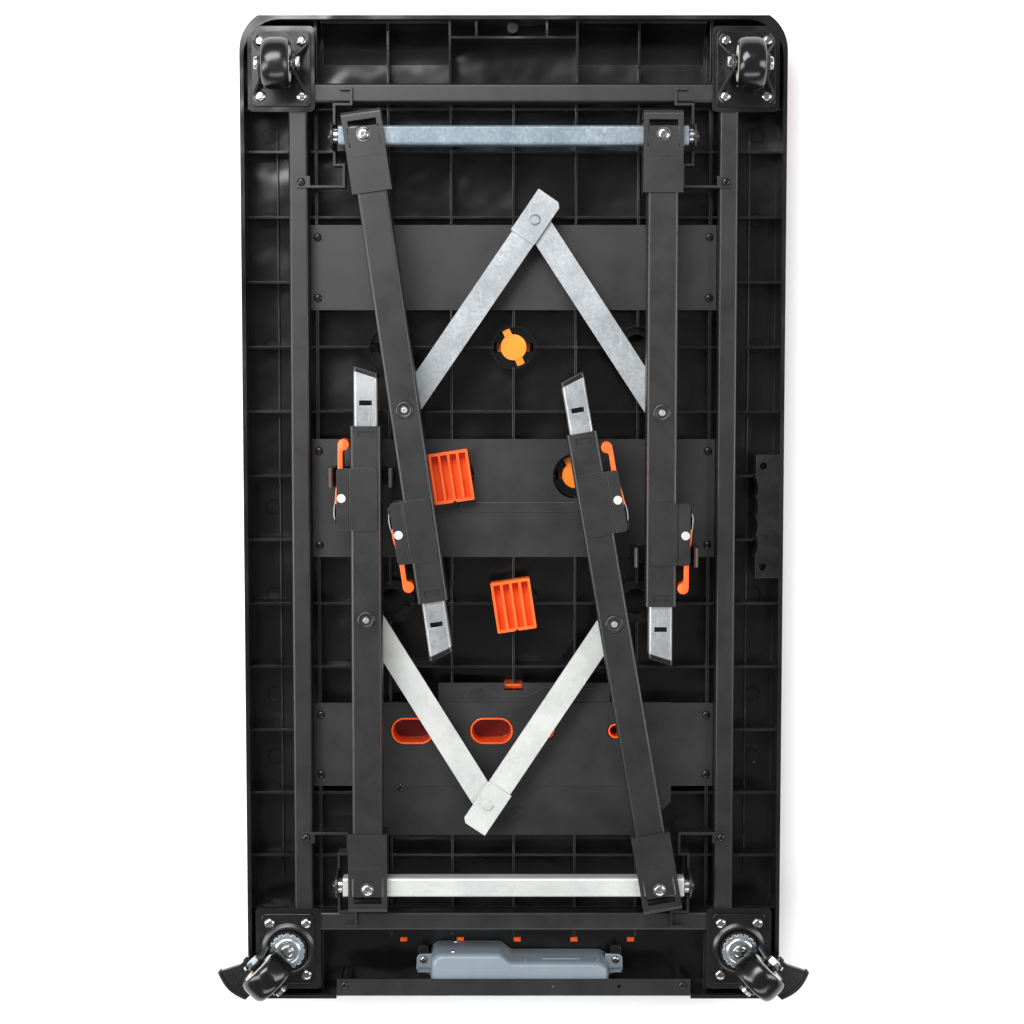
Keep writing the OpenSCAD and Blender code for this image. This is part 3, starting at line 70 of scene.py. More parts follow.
# finishes: a row holds a value for every key, and then the other values of a metal or a moulding, if any.
# grain and wave are (noise per metre, depth), scuffs how far they show, and edge how much lighter the rounded
# edges are painted, partly for wear and partly as a painted highlight
finishKeys = ("colours", "rough", "grain", "wave", "scuffs", "edge")
finishRows = {
    "mouldedBlack": (((0.0044, 0.0044, 0.0048), (0.008, 0.008, 0.0086)), (0.13, 0.27), (1500, 0.00001),
        (15, 0.0042), 0.03, 8.0, {"fine": 12}),
    "mouldedSmooth": (((0.01, 0.01, 0.011), (0.014, 0.014, 0.0155)), (0.36, 0.46), (1200, 0.00003),
        (30, 0.0002), 0.1, 1.8),
    "paintedSteel": (((0.007, 0.007, 0.0078), (0.0105, 0.0105, 0.0113)), (0.34, 0.44), (900, 0.00004),
        (40, 0.00004), 0.2, 1.7),
    "paintedSheet": (((0.01, 0.01, 0.0108), (0.014, 0.014, 0.0148)), (0.38, 0.48), (1100, 0.00005),
        (9, 0.0003), 0.12, 2.4),
    "nylonBlack": (((0.003, 0.003, 0.0034), (0.006, 0.006, 0.0065)), (0.2, 0.34), (1600, 0.00005),
        (60, 0.0001), 0.12, 3.0),
    "clipTop": (((0.05, 0.05, 0.052), (0.075, 0.075, 0.078)), (0.45, 0.6), (900, 0.0002), (60, 0.0001), 0.3,
        1.3),
    "rubberBlack": (((0.003, 0.003, 0.0034), (0.0055, 0.0055, 0.006)), (0.24, 0.4), (1300, 0.00008),
        (60, 0.0001), 0.1, 2.4),
    "zincBlue": (((0.165, 0.208, 0.24), (0.25, 0.298, 0.335)), (0.34, 0.48), (500, 0.00003), (14, 0.0001),
        0.5, 1.4, {"metal": 0.7, "spangle": 0.55}),
    "zinc": (((0.3, 0.32, 0.335), (0.4, 0.42, 0.435)), (0.36, 0.5), (700, 0.00003), (14, 0.0001), 0.35,
        1.25, {"metal": 0.6, "spangle": 0.45}),
    "zincPale": (((0.47, 0.485, 0.475), (0.54, 0.55, 0.53)), (0.4, 0.52), (700, 0.00003), (6, 0.0001), 0.3,
        1.1, {"metal": 0.5, "spangle": 0.12}),
    "zincBrushed": (((0.25, 0.26, 0.27), (0.35, 0.36, 0.37)), (0.3, 0.46), (700, 0.00003), (14, 0.0001), 0.9,
        1.3, {"metal": 0.6, "spangle": 0.15}),
    "zincScrew": (((0.4, 0.4, 0.385), (0.56, 0.56, 0.54)), (0.16, 0.28), (1500, 0.00001), (200, 0.00003),
        0.2, 1.1, {"metal": 1.0}),
    "zincDisc": (((0.34, 0.4, 0.45), (0.58, 0.64, 0.68)), (0.2, 0.36), (900, 0.00002), (120, 0.0001), 0.3,
        1.5, {"metal": 0.9}),
    "blackScrew": (((0.006, 0.006, 0.0065), (0.012, 0.012, 0.0125)), (0.2, 0.34), (1500, 0.00002),
        (200, 0.00003), 0.2, 3.0, {"metal": 0.2}),
    "orange": (((0.86, 0.1, 0.01), (0.95, 0.13, 0.014)), (0.3, 0.42), (1400, 0.00003), (60, 0.0001), 0.12,
        1.05),
    "orangeLight": (((0.93, 0.22, 0.012), (0.96, 0.26, 0.016)), (0.34, 0.44), (1400, 0.00003), (60, 0.0001),
        0.1, 1.03),
    "cupOrange": (((0.8, 0.085, 0.01), (0.9, 0.105, 0.012)), (0.14, 0.26), (1400, 0.00001), (40, 0.0002),
        0.1, 1.1),
    # the cups' floors in dark red: their translucent red tint, darkened further as painted shade in the deep
    # recess
    "cupFloor": (((0.14, 0.012, 0.006), (0.2, 0.02, 0.01)), (0.1, 0.22), (1400, 0.00001), (60, 0.0004), 0.1,
        1.1),
    "powerGrey": (((0.155, 0.19, 0.22), (0.175, 0.21, 0.24)), (0.34, 0.44), (1500, 0.00005), (30, 0.00005),
        0.1, 1.25),
    "wheelBlack": (((0.004, 0.004, 0.0045), (0.008, 0.008, 0.0085)), (0.14, 0.28), (900, 0.00001),
        (60, 0.0001), 0.2, 1.5),
    "bearingWhite": (((0.6, 0.57, 0.52), (0.7, 0.67, 0.62)), (0.35, 0.5), (1200, 0.00002), (90, 0.0001),
        0.3, 1.05),
}
finishes = {}
for name, row in finishRows.items():
    finishes[name] = dict(zip(finishKeys, row), **(row[6] if len(row) > 6 else {}))
finishes["clampSteel"] = {**finishes["paintedSteel"], "scuffs": 0.3, "edge": 9.0}
made = {}
# noise per metre, the part of the noise that each effect takes, and the scuffs' stretch and turn
surface = {
    "mottle": (0.35, 0.65), "smudge": (0.32, 0.68), "cells": 420.0, "cellDark": 0.62, "cellRough": 0.12,
    "scuffScale": (700, 36, 400), "scuffTurn": (0.2, 0.1, 0.35), "scuff": (0.66, 0.74), "brightest": 0.98}


def addNode(tree, kind, **values):
    node = tree.nodes.new(kind)
    for key, value in values.items():
        if key in node.inputs:
            node.inputs[key].default_value = value
        else:
            setattr(node, key, value)
    return node


def noiseNode(tree, vector, scale, detail, roughness):
    node = addNode(tree, "ShaderNodeTexNoise", Scale=scale, Detail=detail, Roughness=roughness)
    tree.links.new(vector, node.inputs["Vector"])
    return node.outputs["Fac"]


def rangeNode(tree, value, low, high, toLow, toHigh):
    node = tree.nodes.new("ShaderNodeMapRange")
    tree.links.new(value, node.inputs["Value"])
    for key, number in (("From Min", low), ("From Max", high), ("To Min", toLow), ("To Max", toHigh)):
        node.inputs[key].default_value = number
    return node.outputs["Result"]


def feed(tree, value, socket):
    if isinstance(value, bpy.types.NodeSocket):
        tree.links.new(value, socket)
    else:
        socket.default_value = value


def mathNode(tree, operation, *terms):
    node = addNode(tree, "ShaderNodeMath", operation=operation)
    for term, socket in zip(terms, node.inputs):
        feed(tree, term, socket)
    return node.outputs[0]


def mixColour(tree, amount, first, second):
    node = addNode(tree, "ShaderNodeMix", data_type="RGBA")
    tree.links.new(amount, node.inputs["Factor"])
    for socket, colour in ((node.inputs[6], first), (node.inputs[7], second)):
        feed(tree, (*colour, 1) if isinstance(colour, tuple) else colour, socket)
    return node.outputs[2]


def bumpNode(tree, height, depth, before=None):
    node = addNode(tree, "ShaderNodeBump", Strength=1.0, Distance=depth)
    tree.links.new(height, node.inputs["Height"])
    if before is not None:
        tree.links.new(before, node.inputs["Normal"])
    return node.outputs["Normal"]


# one finish, or the lighter version of it on the rounded edges, partly wear and partly a painted highlight
def finishMaterial(name, edgeWearAndHighlight=False):
    key = name + ("Edge" if edgeWearAndHighlight else "")
    if key in made:
        return made[key]
    look = finishes[name]
    material = bpy.data.materials.new(key)
    material.use_nodes = True
    tree = material.node_tree
    shader = tree.nodes["Principled BSDF"]
    shader.inputs["Metallic"].default_value = look.get("metal", 0.0)
    place = addNode(tree, "ShaderNodeTexCoord").outputs["Object"]
    # on the edge version the colour is raised by edge: partly wear, partly a painted highlight
    gain = look["edge"] if edgeWearAndHighlight else 1.0
    dark, light = [tuple(min(surface["brightest"], c * gain) for c in colour) for colour in look["colours"]]
    mottle = rangeNode(tree, noiseNode(tree, place, look.get("fine", 26), 2, 0.5), *surface["mottle"], 0, 1)
    colour = mixColour(tree, mottle, dark, light)
    smudge = noiseNode(tree, place, look.get("fine", 34), 3 if "fine" in look else 7, 0.6)
    rough = rangeNode(tree, smudge, *surface["smudge"], *look["rough"])
    if "spangle" in look:  # zinc crystals, each with its own tone
        cells = addNode(tree, "ShaderNodeTexVoronoi", Scale=surface["cells"])
        tree.links.new(place, cells.inputs["Vector"])
        tone = addNode(tree, "ShaderNodeSeparateColor")
        tree.links.new(cells.outputs["Color"], tone.inputs["Color"])
        amount = rangeNode(tree, tone.outputs["Red"], 0, 1, 0, look["spangle"])
        colour = mixColour(tree, amount, colour, tuple(c * surface["cellDark"] for c in dark))
        rough = mathNode(tree, "MULTIPLY_ADD", tone.outputs["Green"], surface["cellRough"], rough)
    # fine scuffs run along the piece
    along = addNode(tree, "ShaderNodeMapping", Scale=surface["scuffScale"], Rotation=surface["scuffTurn"])
    tree.links.new(place, along.inputs["Vector"])
    noise = noiseNode(tree, along.outputs["Vector"], 1.0, 3, 0.5)
    scratch = rangeNode(tree, noise, *surface["scuff"], 0, look["scuffs"])
    pale = tuple(min(0.9, c * 1.6 + 0.02) for c in light)
    colour = mixColour(tree, scratch, colour, pale)
    tree.links.new(colour, shader.inputs["Base Color"])
    tree.links.new(rough, shader.inputs["Roughness"])
    scale, depth = look["wave"]
    normal = bumpNode(tree, noiseNode(tree, place, scale, 2, 0.4), depth)
    scale, depth = look["grain"]
    normal = bumpNode(tree, noiseNode(tree, place, scale, 2, 0.5), depth, normal)
    tree.links.new(normal, shader.inputs["Normal"])
    made[key] = material
    return material


def deselectAll():
    if bpy.context.object and bpy.context.object.mode != "OBJECT":
        bpy.ops.object.mode_set(mode="OBJECT")
    bpy.ops.object.select_all(action="DESELECT")


def makeActive(piece):
    deselectAll()
    piece.select_set(True)
    bpy.context.view_layer.objects.active = piece


def startEdit():
    bpy.ops.object.mode_set(mode="EDIT")
    bpy.ops.mesh.select_all(action="SELECT")


# turns all faces outwards and leaves edit mode
def endEdit():
    bpy.ops.mesh.select_all(action="SELECT")
    bpy.ops.mesh.normals_make_consistent(inside=False)
    bpy.ops.object.mode_set(mode="OBJECT")


# limits in degrees: faces that count as flat, edges to round, and edges that stay sharp. merge is in metres
limits = {
    "flat": 0.6, "round": 32, "sharp": 40, "turnedSharp": 30, "merge": 0.000004, "turnedMerge": 0.000002}


# smooth shading that keeps large flat faces flat
def smoothFaces(piece):
    makeActive(piece)
    bpy.ops.object.shade_smooth_by_angle(angle=math.radians(limits["sharp"]))
    even = piece.modifiers.new("evenNormals", "WEIGHTED_NORMAL")
    even.keep_sharp = True
    even.weight = 80
    bpy.ops.object.modifier_apply(modifier=even.name)


# the slots of one finish: the finish itself, then its lighter edge version, partly wear and partly painted
# highlight
def addFinish(piece, finish):
    for edgeWearAndHighlight in (False, True):
        piece.data.materials.append(finishMaterial(finish, edgeWearAndHighlight))


# rounds the sharp edges of the active piece and gives them the lighter edge version of its first finish,
# partly wear and partly painted highlight
def roundEdges(piece, width, segments=2):
    bevel = piece.modifiers.new("rounding", "BEVEL")
    bevel.width = width
    bevel.segments = segments
    bevel.limit_method = "ANGLE"
    bevel.angle_limit = math.radians(limits["round"])
    bevel.material = 1
    bpy.ops.object.modifier_apply(modifier=bevel.name)


# loose parts of a mesh, as (height of the lowest point, its faces)
def looseParts(piece):
    mesh = bmesh.new()
    mesh.from_mesh(piece.data)
    mesh.faces.index_update()
    seen = set()
    found = []
    for start in mesh.faces:
        if start in seen:
            continue
        stack, members = [start], set()
        while stack:
            face = stack.pop()
            if face not in members:
                members.add(face)
                stack += [other for edge in face.edges for other in edge.link_faces]
        seen |= members
        found.append((min(v.co.z for f in members for v in f.verts), [f.index for f in members]))
    mesh.free()
    return found


# cuts the new, selected cutter out of a piece
def cutWith(piece, cutter):
    bpy.ops.object.transform_apply(location=True, rotation=True, scale=True)
    makeActive(piece)
    cut = piece.modifiers.new("cut", "BOOLEAN")
    cut.operation = "DIFFERENCE"
    cut.object = cutter
    bpy.ops.object.modifier_apply(modifier=cut.name)
    bpy.data.objects.remove(cutter)


# cuts a box out of a piece; the box may lie in a turned frame
def cutBox(piece, low, high, place=None):
    low, high = Vector(low), Vector(high)
    deselectAll()
    bpy.ops.mesh.primitive_cube_add(size=1, location=(low + high) / 2)
    cutter = bpy.context.object
    cutter.scale = high - low
    bpy.ops.object.transform_apply(location=True, rotation=True, scale=True)
    if place is not None:
        cutter.data.transform(place)
        if place.determinant() < 0:
            cutter.data.flip_normals()
    cutWith(piece, cutter)


def addCylinder(sides, radius, depth, place, tilt=0):
    deselectAll()
    bpy.ops.mesh.primitive_cylinder_add(vertices=sides, radius=radius, depth=depth, location=place,
                                        rotation=(math.radians(tilt), 0, 0))
    return bpy.context.object


# a merged copy of a CAD node, its edges rounded and painted lighter, partly as wear and partly as a painted
# highlight, standing for the node
def dressNode(name, finish, rounding, others, shape):
    makeActive(nodes[name])
    bpy.ops.object.duplicate()
    piece = bpy.context.object
    piece.name = name + "_dressed"
    piece.parent = None
    for key in list(piece.keys()):
        del piece[key]
    piece.data.materials.clear()
    makeActive(piece)
    if piece.data.has_custom_normals:
        bpy.ops.mesh.customdata_custom_splitnormals_clear()
    startEdit()
    bpy.ops.mesh.remove_doubles(threshold=limits["merge"])
    bpy.ops.mesh.dissolve_limited(angle_limit=math.radians(limits["flat"]))
    bpy.ops.object.mode_set(mode="OBJECT")
    for look in (finish, *(o[0] for o in others)):
        addFinish(piece, look)
    for polygon in piece.data.polygons:
        polygon.material_index = 0
    if shape is not None:
        shape(piece)
    roundEdges(piece, rounding)
    if others:
        for bottom, members in looseParts(piece):
            for f in members:
                face = piece.data.polygons[f]
                for k, (look, test) in enumerate(others):
                    if test(bottom, face.center):
                        face.material_index += 2 * (k + 1)
                        break
    smoothFaces(piece)
    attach(piece, bodyOfNode[name])
    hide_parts(name)


# places of the legs, as turns from a leg's own frame (pivot at the origin, foot along +Y, outer side at +X)
legPlan = {
    "front": 0.386, "rear": -0.382, "pitch": 0.3, "slant": {"front": 8.2, "rear": 9.8}, "top": 0.1,
    "low": 0.069, "screw": 0.2785, "pivotHead": 0.0061, "rivet": (0.0245, 0.403), "rivetRadius": 0.0048,
    "clampPlate": 0.0021}
legTags = [(pair, side) for pair in ("front", "rear") for side in ("left", "right")]


def turned(angle, axis="Z"):
    return Matrix.Rotation(math.radians(angle), 4, axis)


def moved(x, y, z):
    return Matrix.Translation((x, y, z))


def legFrame(pair, side):
    slanted = (pair == "front") == (side == "left")
    place = moved(0, legPlan[pair], 0)
    if pair == "front":
        place = place @ turned(180)
    if not slanted:
        place = place @ Matrix.Diagonal((-1, 1, 1, 1))
    place = place @ moved(legPlan["pitch"] / 2, 0, 0)
    return place @ turned(legPlan["slant"][pair] if slanted else 0)


legPlaces = {tag: legFrame(*tag) for tag in legTags}


def awayFrom(tag, at, u, v):
    local = legPlaces[tag].inverted() @ at
    return math.hypot(local.x - u, local.y - v)


# casters: their places, plate screws from the plate's middle, axle and cheeks, and a swivel fork's rest turn
casterPlan = {
    "x": 0.2365, "y": 0.456, "dx": 0.021, "rearDx": 0.0192, "dy": 0.0275, "top": 0.061, "axle": 0.1025,
    "cheek": 0.0187, "trail": 0.024, "nutFrom": 0.01875, "nutRadius": 0.0078, "turn": 46}


def casterFrame(sx):
    place = moved(sx * casterPlan["x"], -casterPlan["y"], 0)
    if sx < 0:
        place = place @ Matrix.Diagonal((-1, 1, 1, 1))
    return place @ turned(casterPlan["turn"])


# tests of the faces that have another finish, by their loose part's lowest height and their own centre
def rivetPart(tag):
    def test(bottom, at):
        between = legPlan["low"] - legPlan["clampPlate"] < at.z < legPlan["top"] + legPlan["clampPlate"]
        return awayFrom(tag, at, *legPlan["rivet"]) < legPlan["rivetRadius"] and not between
    return test


# the axle's head and nut outside a swivel fork's cheeks
def nutPart(sx):
    place = casterFrame(sx).inverted()

    def test(bottom, at):
        local = place @ at
        away = math.hypot(local.y + casterPlan["trail"], local.z - casterPlan["axle"])
        return abs(local.x) > casterPlan["nutFrom"] and away < casterPlan["nutRadius"]
    return test


def washerPart(pair):
    def test(bottom, at):
        away = min(awayFrom(tag, at, 0, 0) for tag in legTags if tag[0] == pair)
        return at.z > legPlan["top"] and away > legPlan["pivotHead"]
    return test


partLimits = {"endPanel": -0.4, "clipTop": 0.0845, "cupFloor": 0.0032, "legScrew": 0.0672}
otherLooks = {"panels": [("paintedSteel", lambda bottom, at: at.y < partLimits["endPanel"])],
              "leg_clips": [("clipTop", lambda bottom, at: at.z > partLimits["clipTop"])],
              # the lowest faces of the tool cups take the dark red floor: translucent tint and painted shade
              "tool_cups": [("cupFloor", lambda bottom, at: at.z < partLimits["cupFloor"])]}
for pair in ("front", "rear"):
    otherLooks["cross_tube_" + pair] = [("blackScrew", washerPart(pair)),
                                        ("zincScrew", lambda bottom, at: bottom < partLimits["legScrew"])]
for tag in legTags:
    otherLooks["leg_clamp_%s_%s" % tag] = [("zincPale", rivetPart(tag))]
for side, sx in (("left", -1), ("right", 1)):
    otherLooks["swivel_fork_" + side] = [("zincDisc", nutPart(sx))]
# finish and rounding of each dressed node
nodeLooks = {
    "top_deck": ("mouldedBlack", 0.0003), "top_rim": ("mouldedBlack", 0.0005),
    "top_long_ribs": ("mouldedBlack", 0.0003), "top_cross_ribs": ("mouldedBlack", 0.0003),
    "dog_sockets": ("mouldedBlack", 0.0003), "edge_trim": ("orange", 0.0003),
    "side_tubes": ("paintedSteel", 0.0004), "end_tubes": ("paintedSteel", 0.0004),
    "corner_plates": ("mouldedBlack", 0.0004), "panels": ("paintedSheet", 0.0003),
    "leg_clips": ("nylonBlack", 0.0006), "cup_tray": ("mouldedSmooth", 0.0004),
    "tool_cups": ("cupOrange", 0.0004), "brackets": ("paintedSteel", 0.0004),
    "carry_handle": ("nylonBlack", 0.0012)}
for pair, tube, link in (("front", "zincBlue", "zinc"), ("rear", "zincPale", "zincPale")):
    nodeLooks["cross_tube_" + pair] = (tube, 0.0003)
    for side in ("left", "right"):
        for part, finish, rounding in (
                ("leg_tube", "paintedSteel", 0.0003), ("leg_head", "paintedSteel", 0.0005),
                ("leg_clamp", "clampSteel", 0.0004), ("inner_leg", "zincBrushed", 0.0003),
                ("foot", "rubberBlack", 0.0006), ("link", link, 0.0004)):
            nodeLooks["%s_%s_%s" % (part, pair, side)] = (finish, rounding)
for side in ("left", "right"):
    nodeLooks["swivel_fork_" + side] = ("nylonBlack", 0.0005)
    nodeLooks["brake_pedal_" + side] = ("rubberBlack", 0.0008)
for name in ("dog_plug_front", "dog_plug_middle"):
    nodeLooks[name] = ("orangeLight", 0.0006)
for name in ("clamp_block_middle", "clamp_block_rear"):
    nodeLooks[name] = ("orange", 0.0005)

# top of a leg tube: the link screw's dome is pressed flat under its washer, and a slot is cut near the mouth
legTop = {
    "lift": 0.00005, "dome": 0.0089, "flat": 0.1,
    "slot": ((-0.0072, 0.4667, -0.0011), (0.0072, 0.4707, 0.001))}


def flattenDome(tag):
    def shape(piece):
        base = legPlan["top"] + legTop["lift"]
        for vertex in piece.data.vertices:
            if vertex.co.z > base and awayFrom(tag, vertex.co, 0, legPlan["screw"]) < legTop["dome"]:
                vertex.co.z = base + (vertex.co.z - base) * legTop["flat"]
        low, high = [(x, y, base + z) for x, y, z in legTop["slot"]]
        cutBox(piece, low, high, legPlaces[tag])
    return shape


# cuts that leave the tray's narrow tab at its front edge
trayCuts = (((-0.17, -0.1985, 0.03), (-0.079, -0.17, 0.04)), ((0.101, -0.1985, 0.03), (0.17, -0.17, 0.04)))


def cutTray(piece):
    for low, high in trayCuts:
        cutBox(piece, low, high)


# the groove between the clamp's plate over the leg and its ear
clampGroove = {"x": (0.016, 0.0178), "y": (0.36, 0.44), "away": 0.0018, "half": 0.0012}


def grooveClamp(tag):
    def shape(piece):
        c = clampGroove
        for z in (legPlan["top"] + c["away"], legPlan["low"] - c["away"]):
            low, high = zip(c["x"], c["y"], (z - c["half"], z + c["half"]))
            cutBox(piece, low, high, legPlaces[tag])
    return shape


# hexagon sockets in the heads of the two leg screws of a cross tube
screwSocket = {"z": 0.1066, "radius": 0.0023, "depth": 0.0034}


def socketHeads(pair):
    def shape(piece):
        for tag in legTags:
            if tag[0] == pair:
                at = legPlaces[tag] @ Vector((0, 0, screwSocket["z"]))
                cutWith(piece, addCylinder(6, screwSocket["radius"], screwSocket["depth"], at))
    return shape


shapes = {"cup_tray": cutTray}
for tag in legTags:
    shapes["leg_tube_%s_%s" % tag] = flattenDome(tag)
    shapes["leg_clamp_%s_%s" % tag] = grooveClamp(tag)
for pair in ("front", "rear"):
    shapes["cross_tube_" + pair] = socketHeads(pair)
for name, (finish, rounding) in nodeLooks.items():
    dressNode(name, finish, rounding, otherLooks.get(name, ()), shapes.get(name))
print("dressed", len(nodeLooks), "nodes")


def meshPiece(name, points, edges, faces):
    data = bpy.data.meshes.new(name)
    data.from_pydata(points, edges, faces)
    piece = bpy.data.objects.new(name, data)
    scene.collection.objects.link(piece)
    makeActive(piece)
    return piece


# a shape turned about +Z, from points of (radius, height)
def turnedPiece(name, profile, finish, steps=72, closed=False):
    links = [(k, k + 1) for k in range(len(profile) - 1)] + ([(len(profile) - 1, 0)] if closed else [])
    piece = meshPiece(name, [(r, 0, z) for r, z in profile], links, [])
    startEdit()
    bpy.ops.mesh.spin(steps=steps, angle=2 * math.pi, center=(0, 0, 0), axis=(0, 0, 1))
    bpy.ops.mesh.select_all(action="SELECT")
    bpy.ops.mesh.remove_doubles(threshold=limits["turnedMerge"])
    endEdit()
    piece.data.materials.append(finishMaterial(finish))
    bpy.ops.object.shade_smooth_by_angle(angle=math.radians(limits["turnedSharp"]))
    return piece


def joinPieces(name, pieces):
    deselectAll()
    for piece in pieces:
        piece.select_set(True)
    bpy.context.view_layer.objects.active = pieces[0]
    bpy.ops.object.join()
    pieces[0].name = name
    return pieces[0]


# a copy with its own mesh, its place in the mesh
def placedCopy(piece, name, place):
    copy = piece.copy()
    copy.data = piece.data.copy()
    copy.name = name
    copy.data.transform(place)
    if place.determinant() < 0:
        copy.data.flip_normals()
    scene.collection.objects.link(copy)
    return copy


def discard(piece):
    bpy.data.objects.remove(piece)


def centreOf(name):
    low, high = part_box(name)
    return (low + high) / 2


def arcPoints(x, y, r, start, sweep, steps):
    angles = [math.radians(start + sweep * k / steps) for k in range(steps + 1)]
    return [(x + r * math.cos(a), y + r * math.sin(a)) for a in angles]


def roundedOutline(w, l, r, at=(0, 0)):
    points = []
    for cx, cy, start in ((1, 1, 0), (-1, 1, 90), (-1, -1, 180), (1, -1, 270)):
        points += arcPoints(at[0] + cx * (w / 2 - r), at[1] + cy * (l / 2 - r), r, start, 90, 5)
    return points


# gives the active piece its finish, with rounded edges painted lighter, partly as wear and partly as a
# painted highlight
def finishPiece(piece, finish, rounding, segments=2):
    addFinish(piece, finish)
    roundEdges(piece, rounding, segments)
    smoothFaces(piece)
    return piece


# a plate or wall raised from a plan outline
def outlinePiece(name, points, low, high, finish, rounding, segments=2):
    piece = meshPiece(name, [(x, y, low) for x, y in points], [], [tuple(range(len(points)))])
    startEdit()
    bpy.ops.mesh.extrude_region_move(TRANSFORM_OT_translate={"value": (0, 0, high - low)})
    endEdit()
    return finishPiece(piece, finish, rounding, segments)


# a skin through rings of points, closed at both ends
def loftPiece(name, rings, finish, rounding):
    count, last = len(rings[0]), len(rings) - 1
    faces = []
    for k in range(last):
        for j in range(count):
            a, b = k * count + j, k * count + (j + 1) % count
            faces.append((a, b, b + count, a + count))
    faces += [tuple(range(count))[::-1], tuple(range(last * count, (last + 1) * count))]
    piece = meshPiece(name, [p for ring in rings for p in ring], [], faces)
    startEdit()
    endEdit()
    return finishPiece(piece, finish, rounding)


# wheels: a polished tread, a bearing cover ring in each side and a hub. The tread's points are (part of the
# radius, depth under the side face), and the other depths are under that face too
wheel = {
    "radius": 0.026, "half": 0.015, "bore": 0.00405, "hub": 0.0078, "ringIn": 0.0098, "ringOut": 0.0186,
    "well": 0.0042, "ringBase": 0.0044, "ringFace": 0.0018,
    "tread": ((0.8, 0.0012), (0.86, 0.0016), (0.91, 0.0028), (0.95, 0.0046), (0.975, 0.0066),
        (0.992, 0.009), (0.999, 0.0118))}


def makeWheel(w):
    r, h = w["radius"], w["half"]
    bore, hub, edge, well = w["bore"], w["hub"], w["ringOut"], h - w["well"]
    side = [(bore, h - 0.0002), (bore + 0.0005, h), (hub - 0.0006, h), (hub, h - 0.0006),
            (hub + 0.0002, well), (edge, well), (edge + 0.0006, h - 0.0024), (edge + 0.0014, h - 0.0015)]
    side += [(r * part, h - depth) for part, depth in w["tread"]]
    profile = side + [(a, -b) for a, b in reversed(side)]
    body = turnedPiece("wheelBody", profile, "wheelBlack", closed=True)
    rings = []
    inner, outer, face, base = w["ringIn"], edge - 0.0001, h - w["ringFace"], h - w["ringBase"]
    middle = (inner + outer) / 2
    ring = [(inner, base), (inner, face - 0.0004), (inner + 0.0005, face), (middle, face + 0.0005),
            (outer - 0.0006, face), (outer, face - 0.0006), (outer, base)]
    for sign in (1, -1):
        points = [(a, b * sign) for a, b in ring]
        rings.append(turnedPiece("bearingRing", points, "bearingWhite", closed=True))
    return joinPieces("wheelModel", [body] + rings)


wheelModel = makeWheel(wheel)
wheelTurns = {"wheel_front_left": 0, "wheel_front_right": 0, "wheel_rear_left": -casterPlan["turn"],
              "wheel_rear_right": casterPlan["turn"]}
for name, turn in wheelTurns.items():
    place = Matrix.Translation(centreOf(name)) @ turned(turn) @ turned(90, "Y")
    piece = placedCopy(wheelModel, name + "_turned", place)
    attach(piece, bodyOfNode[name])
    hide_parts(name)
discard(wheelModel)
print("wheels made")

# fasteners: cross head screws, the axle bolts of the fixed forks with nuts, and the fold bolts with spacers
smallScrew = {
    "head": 0.0042, "height": 0.0026, "arm": 0.0023, "slot": 0.0009, "shank": 0.002, "depth": 0.0009,
    "finish": "blackScrew"}
screwKinds = {
    "caster": {"head": 0.0056, "height": 0.0033, "arm": 0.0033, "slot": 0.0013, "shank": 0.0025,
               "depth": 0.005, "finish": "zincScrew"},
    "panel": smallScrew,
    "bracket": {**smallScrew, "depth": 0.0019},
    "end": {**smallScrew, "height": 0.0022},
    "ear": {**smallScrew, "head": 0.004, "finish": "zincScrew"},
}
# where the small screws sit: places across, places along, and the height of the face under them
screwPlaces = {
    "panel": ((-0.2025, 0.2025), (0.2245, 0.287, -0.0325, 0.0659, -0.2749, -0.2116), 0.03722),
    "bracket": ((-0.217, 0.217), (0.342, -0.338), 0.05802), "end": ((-0.178, 0.178), (-0.496,), 0.05802),
    "ear": ((-0.096, 0.109), (-0.4782,), 0.02302)}
# domes: points as (part of the radius, part of the height)
screwDome = ((0, 0.98), (0.45, 0.96), (0.72, 0.84), (0.9, 0.62), (0.985, 0.34), (1, 0.12))
axleBolt = {
    "radius": 0.004, "end": 0.004, "nut": (0.006928, 0.0049, 0.0026),
    "head": ((0, 0.004), (0.0028, 0.004), (0.0031, 0.0034), (0.0056, 0.0036), (0.0066, 0.0028),
        (0.007, 0.0014), (0.007, 0.0001), (0, 0.0001))}
foldBolt = {
    "x": 0.184, "y": (0.386, -0.382), "z": 0.0845, "head": 0.0068, "height": 0.0034, "radius": 0.004,
    "length": 0.0238, "ring": (0.1766, 0.1814), "ringRadius": 0.0079, "edge": 0.0005,
    "dome": ((0, 0.8), (0.3, 0.8), (0.36, 1), (0.62, 0.94), (0.84, 0.76), (0.96, 0.45), (1, 0.14), (0.98, 0),
        (0, 0))}


def makeScrew(c):
    r, h = c["head"], c["height"]
    head = [(r * a, h * b) for a, b in screwDome]
    head += [(r * 0.99, 0.00002), (c["shank"], 0), (c["shank"], -c["depth"]), (0, -c["depth"])]
    screw = turnedPiece("screwModel", head, c["finish"], steps=32)
    for turn in (0, 90):
        bpy.ops.mesh.primitive_cube_add(size=1, location=(0, 0, h))
        cutter = bpy.context.object
        cutter.scale = (c["arm"] * 2, c["slot"], h * 0.9)
        cutter.rotation_euler[2] = math.radians(turn)
        cutWith(screw, cutter)
    bpy.ops.object.shade_smooth_by_angle(angle=math.radians(limits["turnedSharp"]))
    return screw


def makeNut(name, radius, depth, height):
    nut = addCylinder(6, radius, depth, (0, 0, height))
    nut.name = name
    bpy.ops.object.transform_apply(location=True, rotation=True, scale=True)
    nut.data.materials.append(finishMaterial("zincScrew"))
    makeActive(nut)
    bevel = nut.modifiers.new("chamfer", "BEVEL")
    bevel.width = 0.0007
    bevel.segments = 3
    bpy.ops.object.modifier_apply(modifier=bevel.name)
    bpy.ops.object.shade_smooth_by_angle(angle=math.radians(limits["turnedSharp"]))
    return nut


